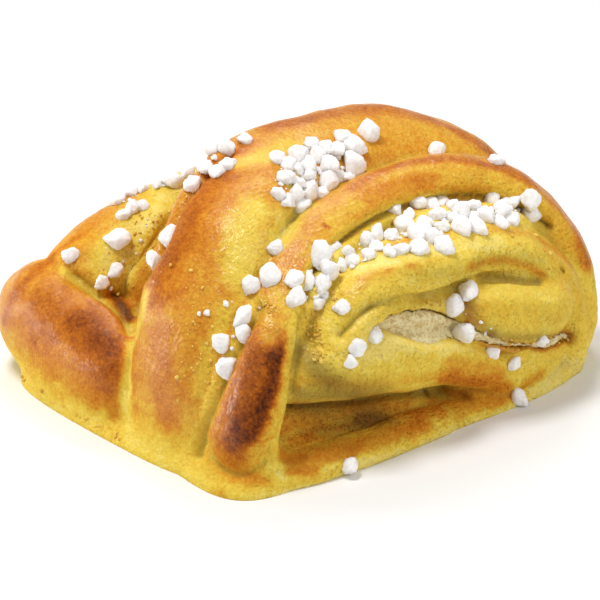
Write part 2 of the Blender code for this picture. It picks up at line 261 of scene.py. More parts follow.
@dataclass(frozen=True)
class LaidRoll:
    """Roll of dough laid through a few places; a spindle swells in the middle all along."""

    places: tuple[Triple, ...]
    halves: Line
    spindle: float | None = None
    stations: int = 60
    least: float = 1e-4  # keeps a spindle's ends from closing to a point

    def mesh(self) -> MeshData:
        """Make the roll.

        Returns:
            Its points and faces.
        """
        ways = [i / self.stations for i in range(self.stations + 1)]
        line = [Vector(place) for place in self.places]
        sizes = flat(self.halves)
        points = [through(line, way) for way in ways]
        runs = run_lengths(points)
        halves = []
        for way, run in zip(ways, runs):
            if self.spindle:
                swell = max(1 - abs(2 * run / runs[-1] - 1) ** self.spindle, self.least)
                k = swell ** (1 / self.spindle)
            else:
                k = round_off(run, sizes[0].x) * round_off(runs[-1] - run, sizes[-1].x)
            size = through(sizes, way)
            halves.append((size.x * k, size.y * k))
        return tube(points, halves)


@dataclass(frozen=True)
class Cushion:
    """Superellipsoid of dough: power squares its side view, plan squares it seen from above."""

    centre: Triple
    radii: Triple
    power: float
    plan: float
    shear: Pair = (0.0, 0.0)
    rings: int = 32
    segments: int = 96
    inset: float = 0.02  # keeps its first and last ring off the poles, in rings

    @staticmethod
    def curve(value: float, exponent: float) -> float:
        """Raise a sine or cosine to a superellipse's power, keeping its sign."""
        return math.copysign(abs(value) ** (2.0 / exponent), value)

    def mesh(self) -> MeshData:
        """Make the cushion.

        Returns:
            Its points and faces.
        """
        verts: list[Vector] = []
        for i in range(self.rings + 1):
            rise = -math.pi / 2 + math.pi * (i + self.inset) / (self.rings + 2 * self.inset)
            reach = self.curve(math.cos(rise), self.power)
            for k in range(self.segments):
                turn = 2 * math.pi * k / self.segments
                x = self.radii[0] * reach * self.curve(math.cos(turn), self.plan)
                y = self.radii[1] * reach * self.curve(math.sin(turn), self.plan)
                z = self.radii[2] * self.curve(math.sin(rise), self.power)
                place = Vector((x + self.shear[0] * y, y + self.shear[1] * x, z))
                verts.append(place + Vector(self.centre))
        return verts, skin(self.rings + 1, self.segments)


# ---- The side that is seen, and marks laid on the dough from it ----

@dataclass(frozen=True)
class SeenSide:
    """The side the bun is seen and strewn from; places are across and up from its middle, mm."""

    azimuth: float = math.radians(52.0)
    elevation: float = math.radians(27.0)
    distance: float = 700.0
    middle: Triple = (2.0, 2.0, 18.0)

    @property
    def toward(self) -> Vector:
        """Level direction from the bun towards the eye."""
        return Vector((math.sin(self.azimuth), -math.cos(self.azimuth), 0))

    @property
    def back(self) -> Vector:
        """Direction from the bun towards the eye."""
        level = math.cos(self.elevation)
        return Vector((math.sin(self.azimuth) * level, -math.cos(self.azimuth) * level,
                       math.sin(self.elevation)))

    @property
    def right(self) -> Vector:
        """Direction across, to the right."""
        return Vector((math.cos(self.azimuth), math.sin(self.azimuth), 0))

    @property
    def eye(self) -> Vector:
        """Where the bun is seen from, in the layout."""
        return Vector(self.middle) + self.back * self.distance

    def ray(self, across: float, up: float) -> Vector:
        """Find the unit direction from the eye through a place across and up from the middle."""
        place = Vector(self.middle) + self.right * across + self.back.cross(self.right) * up
        return (place - self.eye).normalized()


class Mark(Enum):
    """What a stroke laid on the dough does."""

    BAKED = "baked"  # as browned as the amount says, 0 pale and 1 nearly black; some strokes paint shade into creases, hollows and the wall under the front fold, and pale ones paint highlights on the saddle, the left lip and the front fold
    GLAZED = "glazed"  # shinier, or duller
    TORN = "torn"  # crumbly
    DIM = "dim"  # painted shade: dark and flat without browning, where shade falls in creases, hollows, under folds and on the recessed wall; negative rows take it away
    STREAKED = "streaked"  # browned in level streaks
    SWOLLEN = "swollen"  # raised, or pressed in where it is negative, mm
    SUNK = "sunk"  # pushed away from the eye, mm


@dataclass(frozen=True)
class Stroke:
    """A mark drawn along a line on the dough, as it is seen: places across and up, in mm."""

    mark: Mark
    amount: float
    breadth: float
    line: Line


def strokes(mark: Mark, rows: tuple[tuple, ...]) -> list[Stroke]:
    """Make strokes of one mark from rows of an amount, a breadth and the line's places."""
    return [Stroke(mark, amount, breadth, tuple(line)) for amount, breadth, *line in rows]


def new_object(name: str, verts: list[Vector], faces: list[tuple[int, ...]]) -> Object:
    """Make an object.

    Args:
        name: its name.
        verts: points in millimetres.
        faces: faces.

    Returns:
        The object, with its mesh in millimetres.
    """
    mesh = bpy.data.meshes.new(name)
    mesh.from_pydata([tuple(vert) for vert in verts], [], faces)
    mesh.update()
    obj = bpy.data.objects.new(name, mesh)
    bpy.context.scene.collection.objects.link(obj)
    return obj


def merged(parts: Iterable[MeshData]) -> MeshData:
    """Gather several meshes into one.

    Args:
        parts: each mesh's points and faces.

    Returns:
        All the points and faces.
    """
    verts: list[Vector] = []
    faces: list[tuple[int, ...]] = []
    for part_verts, part_faces in parts:
        start = len(verts)
        verts += part_verts
        faces += [tuple(start + i for i in face) for face in part_faces]
    return verts, faces


def apply_modifiers(obj: Object) -> None:
    """Turn what the modifiers make into the object's own mesh.

    Args:
        obj: the object.
    """
    graph = bpy.context.evaluated_depsgraph_get()
    mesh = bpy.data.meshes.new_from_object(obj.evaluated_get(graph))
    obj.modifiers.clear()
    old = obj.data
    obj.data = mesh
    bpy.data.meshes.remove(old)


def combine(obj: Object, other: Object, operation: str) -> None:
    """Join, cut or intersect an object with another, and keep the result.

    Args:
        obj: the object that is changed.
        other: the other object.
        operation: UNION, DIFFERENCE or INTERSECT.
    """
    cut = obj.modifiers.new(operation.lower(), "BOOLEAN")
    cut.operation = operation
    cut.object = other
    cut.solver = "MANIFOLD"
    apply_modifiers(obj)


def store(obj: Object, name: str, kind: str, values: Iterable[float]) -> None:
    """Store a value or vector for each point as the mesh attribute name."""
    attribute = obj.data.attributes.new(name, kind, "POINT")
    attribute.data.foreach_set("vector" if kind == "FLOAT_VECTOR" else "value", values)


def smoothstep(band: Pair, values: np.ndarray) -> np.ndarray:
    """Rise smoothly from 0 at the band's first value to 1 at its second."""
    share = np.clip((values - band[0]) / (band[1] - band[0]), 0, 1)
    return share * share * (3 - 2 * share)


@dataclass(frozen=True)
class Ripple:
    """Smooth noise over a surface: size of its lumps in mm, or one for each axis, and seed."""

    size: float | Triple
    seed: float
    height: float = 1.0  # about its largest value


class Surface:
    """A mesh's points, normals and edges as arrays, in millimetres."""

    full = 1.6  # brings the noise to about -1 to 1
    seed_step = 17.3  # how far apart in the noise two seeds lie
    floor_band = 0.01  # points up to this height are on the floor
    lowest = 0.02  # no other point comes lower than this
    least = 1e-9  # stands in for the length of a step that has none

    def __init__(self, obj: Object) -> None:
        """Read an object's mesh.

        Args:
            obj: the object.
        """
        self.obj = obj
        self.points = self.read("co")
        edges = np.empty(len(obj.data.edges) * 2, np.int32)
        obj.data.edges.foreach_get("vertices", edges)
        self.edges = edges.reshape(-1, 2)
        self.degree = np.maximum(np.bincount(self.edges.ravel(), minlength=len(self.points)), 1)
        self.normals = self.read("normal")

    def read(self, name: str) -> np.ndarray:
        """Read every point's vector from the mesh as it is now.

        Args:
            name: co for the places, normal for the normals.

        Returns:
            The vectors.
        """
        values = np.empty(len(self.obj.data.vertices) * 3, np.float32)
        self.obj.data.vertices.foreach_get(name, values)
        return values.reshape(-1, 3).astype(float)

    def tree(self) -> BVHTree:
        """Gather the mesh's faces as they are now, for casting rays."""
        return BVHTree.FromObject(self.obj, bpy.context.evaluated_depsgraph_get())

    def average(self, values: np.ndarray, rounds: int) -> np.ndarray:
        """Smooth values over the surface.

        Args:
            values: one number or vector for each point.
            rounds: how often each point takes its neighbours' mean.

        Returns:
            The smoothed values.
        """
        first, second = self.edges[:, 0], self.edges[:, 1]
        out = values.reshape(len(values), -1).astype(float)
        for _ in range(rounds):
            columns = [np.bincount(first, out[second, i], len(out))
                       + np.bincount(second, out[first, i], len(out))
                       for i in range(out.shape[1])]
            out = 0.5 * out + 0.5 * np.stack(columns, 1) / self.degree[:, None]
        return out.reshape(values.shape)

    def bulge(self, rounds: int) -> np.ndarray:
        """Measure how far each point stands out of its smoothed surroundings, in mm."""
        smooth = self.average(self.points, rounds)
        return np.einsum("ij,ij->i", self.points - smooth, self.normals)

    def ripple(self, ripple: Ripple) -> np.ndarray:
        """Find a ripple's height at each point.

        Args:
            ripple: the ripple.

        Returns:
            The heights.
        """
        places = self.points / np.asarray(ripple.size) + ripple.seed * self.seed_step
        lumps = np.array([noise.noise(place) for place in places.tolist()])
        return ripple.height * (lumps * self.full)

    def near(self, line: np.ndarray, reach: float) -> tuple[np.ndarray, np.ndarray]:
        """Find the points near a line.

        Args:
            line: points of the line.
            reach: how far to look.

        Returns:
            The points' indices and their distances.
        """
        low, high = line.min(0) - reach, line.max(0) + reach
        inside = np.nonzero(((self.points >= low) & (self.points <= high)).all(1))[0]
        best = np.full(len(inside), np.inf)
        here = self.points[inside]
        for start, end in zip(line, line[1:]):
            along = end - start
            share = np.clip((here - start) @ along / max(along @ along, self.least), 0, 1)
            gap = np.linalg.norm(here - start - share[:, None] * along, axis=1)
            best = np.minimum(best, gap)
        keep = best < reach
        return inside[keep], best[keep]

    def move(self, offset: np.ndarray) -> None:
        """Move the points, but none from or below the floor, and write them to the mesh.

        Args:
            offset: how far each point goes.
        """
        on_floor = self.points[:, 2] < self.floor_band
        moved = self.points + np.where(on_floor[:, None], 0.0, offset)
        moved[:, 2] = np.where(on_floor, self.points[:, 2], np.maximum(moved[:, 2], self.lowest))
        self.points = moved
        self.obj.data.vertices.foreach_set("co", moved.astype(np.float32).ravel())
        self.obj.data.update()
        self.normals = self.read("normal")


# ---- Finishes ----

@dataclass(frozen=True)
class Grain:
    """Noise in a finish."""

    size: float  # of its lumps, in millimetres
    detail: float = 2.0  # how many finer layers it has
    rough: float = 0.5  # how strong those are
    squeeze: Triple = (1.0, 1.0, 1.0)  # below 1 draws the lumps out along that axis
    depth: float = 0.0  # millimetres of relief
    swing: float = 0.0  # how far it shifts a value up and down
    band: Pair = (0.3, 0.7)  # the part of its 0 to 1 that is spread out


class Board:
    """A node tree, with short calls for adding and joining nodes."""

    def __init__(self, tree: bpy.types.NodeTree) -> None:
        """Work on tree."""
        self.tree = tree

    def set(self, socket: Socket, value: object) -> None:
        """Give a socket a value, or join it to another socket.

        Args:
            socket: the input.
            value: a value, or the socket that feeds it.
        """
        if isinstance(value, Socket):
            self.tree.links.new(value, socket)
        else:
            socket.default_value = value

    def add(self, kind: str, inputs: dict | None = None, out: int | str = 0,
            **settings: object) -> Socket:
        """Add a node.

        Args:
            kind: the node's type.
            inputs: values or sockets for its inputs, by name or number.
            out: the output that is wanted, by name or number.
            settings: its other properties.

        Returns:
            That output.
        """
        node = self.tree.nodes.new(kind)
        for key, value in settings.items():
            setattr(node, key, value)
        for key, value in (inputs or {}).items():
            self.set(node.inputs[key], value)
        return node.outputs[out]

    def math(self, operation: str, first: object, second: object) -> Socket:
        """Work out a number from two numbers or sockets."""
        return self.add("ShaderNodeMath", {0: first, 1: second}, operation=operation)


class FinishBoard(Board):
    """A material's node tree, with short calls for noise, colours and relief."""

    def __init__(self, name: str) -> None:
        """Start a material.

        Args:
            name: what it is called.
        """
        self.material = bpy.data.materials.new(name)
        self.material.use_nodes = True
        super().__init__(self.material.node_tree)

    def shade(self, inputs: dict[str, object]) -> bpy.types.Material:
        """Set the shader's inputs.

        Args:
            inputs: values or sockets by the inputs' names.

        Returns:
            The material.
        """
        for name, value in inputs.items():
            self.set(self.tree.nodes["Principled BSDF"].inputs[name], value)
        return self.material

    def place(self) -> Socket:
        """Get the place on the object, in metres."""
        return self.add("ShaderNodeTexCoord", out="Object")

    def attribute(self, name: str) -> Socket:
        """Get the mesh attribute name."""
        return self.add("ShaderNodeAttribute", out="Fac", attribute_name=name)

    def noise(self, grain: Grain) -> Socket:
        """Make noise of about 0.3 to 0.7, with a mean of 0.5."""
        where = self.add("ShaderNodeVectorMath", {0: self.place(), 1: grain.squeeze},
                         operation="MULTIPLY")
        return self.add("ShaderNodeTexNoise", {"Vector": where, "Scale": 1 / (grain.size * MM),
                                               "Detail": grain.detail, "Roughness": grain.rough})

    def spread(self, value: object, band: Pair, to: Pair = (0.0, 1.0)) -> Socket:
        """Map a band of a value onto another range, smoothly and within its ends."""
        return self.add("ShaderNodeMapRange", {
            "Value": value, "From Min": band[0], "From Max": band[1], "To Min": to[0],
            "To Max": to[1]}, interpolation_type="SMOOTHSTEP")

    def shift(self, value: object, grain: Grain) -> Socket:
        """Shift a value up and down by the grain's swing."""
        swing = self.spread(self.noise(grain), grain.band, (-grain.swing, grain.swing))
        return self.math("ADD", value, swing)

    def ramp(self, value: object, stops: tuple[tuple[float, Triple], ...]) -> Socket:
        """Turn a value into a colour.

        Args:
            value: the number's socket.
            stops: places and linear colours.

        Returns:
            The colour's socket.
        """
        colour = self.add("ShaderNodeValToRGB", {"Fac": value})
        elements = colour.node.color_ramp.elements
        while len(elements) < len(stops):
            elements.new(0.5)  # moved to its own place below
        for element, (place, shade) in zip(elements, stops):
            element.position = place
            element.color = (*shade, 1.0)
        return colour

    def mix(self, share: object, first: object, second: object) -> Socket:
        """Mix two colours or colours' sockets, share being how much of the second."""
        colours = [(*value, 1.0) if isinstance(value, tuple) else value for value in (first, second)]
        return self.add("ShaderNodeMix", {0: share, 6: colours[0], 7: colours[1]}, out=2,
                        data_type="RGBA")

    def bump(self, height: object, depth: float, strength: object, over: Socket | None) -> Socket:
        """Make relief.

        Args:
            height: the relief's height, 0 to 1.
            depth: millimetres that 1 stands for.
            strength: share of it that shows.
            over: normal that it is laid over, if any.

        Returns:
            The normal's socket.
        """
        inputs = {"Height": height, "Distance": depth * MM, "Strength": strength}
        if over is not None:
            inputs["Normal"] = over
        return self.add("ShaderNodeBump", inputs)

    def relief(self, grain: Grain, strength: object = 1.0, over: Socket | None = None) -> Socket:
        """Make relief of a grain's noise and depth, with strength, laid over another normal."""
        return self.bump(self.noise(grain), grain.depth, strength, over)


@dataclass(frozen=True)
class DoughFinish:
    """Saffron dough, from pale crumb to dark egg-washed crust."""

    shades: tuple[tuple[float, Triple], ...] = (
        (0.00, (0.86, 0.68, 0.18)),
        (0.12, (0.81, 0.59, 0.075)),
        (0.28, (0.74, 0.46, 0.045)),
        (0.42, (0.68, 0.325, 0.026)),
        (0.56, (0.60, 0.205, 0.012)),
        (0.70, (0.45, 0.120, 0.006)),
        (0.85, (0.25, 0.055, 0.005)),
        (1.00, (0.075, 0.016, 0.005)),
    )
    painted_shade_colour: Triple = (0.12, 0.062, 0.016)  # painted shade: the deep colour that the crumb is darkened towards in creases, hollows and under folds
    deepest_painted_shade: float = 0.8
    uneven: tuple[Grain, ...] = (Grain(4.5, 3.0, 0.6, swing=0.05),
                                 Grain(1.3, 2.0, 0.6, swing=0.035),
                                 Grain(0.6, 1.0, swing=0.05))
    roughness: Pair = (0.62, 0.36)  # of bare crumb and of glazed crust
    specks: Grain = Grain(0.5, 1.0, swing=0.07, band=(0.35, 0.65))
    coat: float = 0.9
    coat_roughness: float = 0.18
    coat_ior: float = 1.4
    gleam: float = 0.08
    glow: float = 0.12
    glow_reach: Triple = (1.0, 0.45, 0.12)
    glow_depth: float = 0.0022  # metres
    skin: Grain = Grain(0.8, 3.0, 0.65, depth=0.36)
    hairs: Grain = Grain(0.6, 2.0, 0.6, (1.0, 0.22, 0.22), depth=0.20)
    wrinkles: Grain = Grain(2.4, 3.0, 0.6, depth=0.40)
    pore_size: float = 0.8
    pore_depth: float = 0.30
    pore_band: Pair = (0.0, 0.6)
    film: Grain = Grain(0.7, 2.0, 0.6, (1.0, 0.6, 0.6), depth=0.30)
    film_waves: Grain = Grain(2.4, 2.0, depth=0.32)

    def material(self) -> bpy.types.Material:
        """Make the material, which reads the mesh's baked, glazed, torn and dim attributes.

        Returns:
            The material.
        """
        board = FinishBoard("saffron_dough")
        glazed = board.attribute("glazed")
        # browning, with the painted shade and painted highlights that some strokes lay into it
        baked = board.attribute("baked")
        for grain in self.uneven:
            baked = board.shift(baked, grain)
        # painted shade: where shade falls, the colour is mixed towards a deep brown
        painted_shade_share = board.math("MULTIPLY", board.attribute("dim"), self.deepest_painted_shade)
        colour = board.mix(painted_shade_share, board.ramp(baked, self.shades), self.painted_shade_colour)
        rough = board.shift(board.spread(glazed, (0.0, 1.0), self.roughness), self.specks)
        relief = board.relief(self.skin)
        relief = board.relief(self.hairs, glazed, relief)
        relief = board.relief(self.wrinkles, over=relief)
        pores = board.add("ShaderNodeTexVoronoi", {
            "Vector": board.place(), "Scale": 1 / (self.pore_size * MM), "Randomness": 1.0})
        relief = board.bump(board.spread(pores, self.pore_band), self.pore_depth,
                            board.attribute("torn"), relief)
        return board.shade({
            "Base Color": colour,
            "Roughness": rough,
            "Specular IOR Level": self.gleam,
            "Subsurface Weight": self.glow,
            "Subsurface Radius": self.glow_reach,
            "Subsurface Scale": self.glow_depth,
            "Normal": relief,
            "Coat Weight": board.math("MULTIPLY", glazed, self.coat),
            "Coat IOR": self.coat_ior,
            "Coat Roughness": self.coat_roughness,
            "Coat Normal": board.relief(self.film_waves, over=board.relief(self.film)),
        })


@dataclass(frozen=True)
class GrainyFinish:
    """A grainy food in two near shades."""

    name: str
    light: Triple
    dark: Triple
    blend: Grain  # how the shades lie
    relief: Grain
    roughness: float
    glow: float = 0.0  # how much of the light goes through it
    glow_reach: Triple = (1.0, 1.0, 1.0)
    glow_depth: float = 0.001  # metres

    def material(self) -> bpy.types.Material:
        """Make the material.

        Returns:
            The material, in both shades.
        """
        board = FinishBoard(self.name)
        share = board.spread(board.noise(self.blend), self.blend.band)
        return board.shade({
            "Base Color": board.mix(share, self.dark, self.light),
            "Roughness": self.roughness,
            "Subsurface Weight": self.glow,
            "Subsurface Radius": self.glow_reach,
            "Subsurface Scale": self.glow_depth,
            "Normal": board.relief(self.relief),
        })


ALMOND_PASTE = GrainyFinish(
    "almond_paste", light=(0.96, 0.82, 0.46), dark=(0.70, 0.50, 0.19), roughness=0.5,
    blend=Grain(1.0, 3.0, 0.75, band=(0.38, 0.58)), relief=Grain(0.8, 3.0, 0.75, depth=0.7),
    glow=0.2, glow_reach=(1.0, 0.7, 0.35), glow_depth=0.0015)
PRESSED_SUGAR = GrainyFinish(
    "pearl_sugar", light=(0.96, 0.94, 0.92), dark=(0.88, 0.84, 0.81), roughness=0.55,
    blend=Grain(0.7, band=(0.4, 0.6)), relief=Grain(0.35, 2.0, 0.6, depth=0.09),
    glow=0.35, glow_reach=(1.0, 0.95, 0.9), glow_depth=0.0012)
DRY_CRUMBS = GrainyFinish(
    "dough_crumbs", light=(0.84, 0.60, 0.12), dark=(0.70, 0.38, 0.04), roughness=0.7,
    blend=Grain(1.6, band=(0.4, 0.6)), relief=Grain(0.4, 2.0, 0.6, depth=0.12))


@dataclass(frozen=True)
class FloorFinish:
    """Plain pale table."""

    pale: Triple = (0.86, 0.86, 0.855)
    shade: Triple = (0.8514, 0.8514, 0.84645)
    clouds: Grain = Grain(60.0, 1.0)
    roughness: float = 0.7

    def material(self) -> bpy.types.Material:
        """Make the material.

        Returns:
            The material of the table.
        """
        board = FinishBoard("pale_floor")
        colour = board.mix(board.noise(self.clouds), self.shade, self.pale)
        return board.shade({"Base Color": colour, "Roughness": self.roughness})


# ---- Sub-assemblies ----

def settle(obj: Object) -> None:
    """Take a finished mesh from the layout, in millimetres, to the model's frame, in metres."""
    obj.data.transform(Matrix.Scale(MM, 4) @ Matrix.Translation(LAYOUT_SHIFT))
    obj.data.update()


def dress(obj: Object, material: bpy.types.Material) -> None:
    """Dress an object and shade it smooth.

    Args:
        obj: the object.
        material: its one material.
    """
    obj.data.materials.clear()
    obj.data.materials.append(material)
    obj.data.shade_smooth()


def triangles(obj: Object) -> int:
    """Count an object's triangles."""
    return sum(len(face.vertices) - 2 for face in obj.data.polygons)
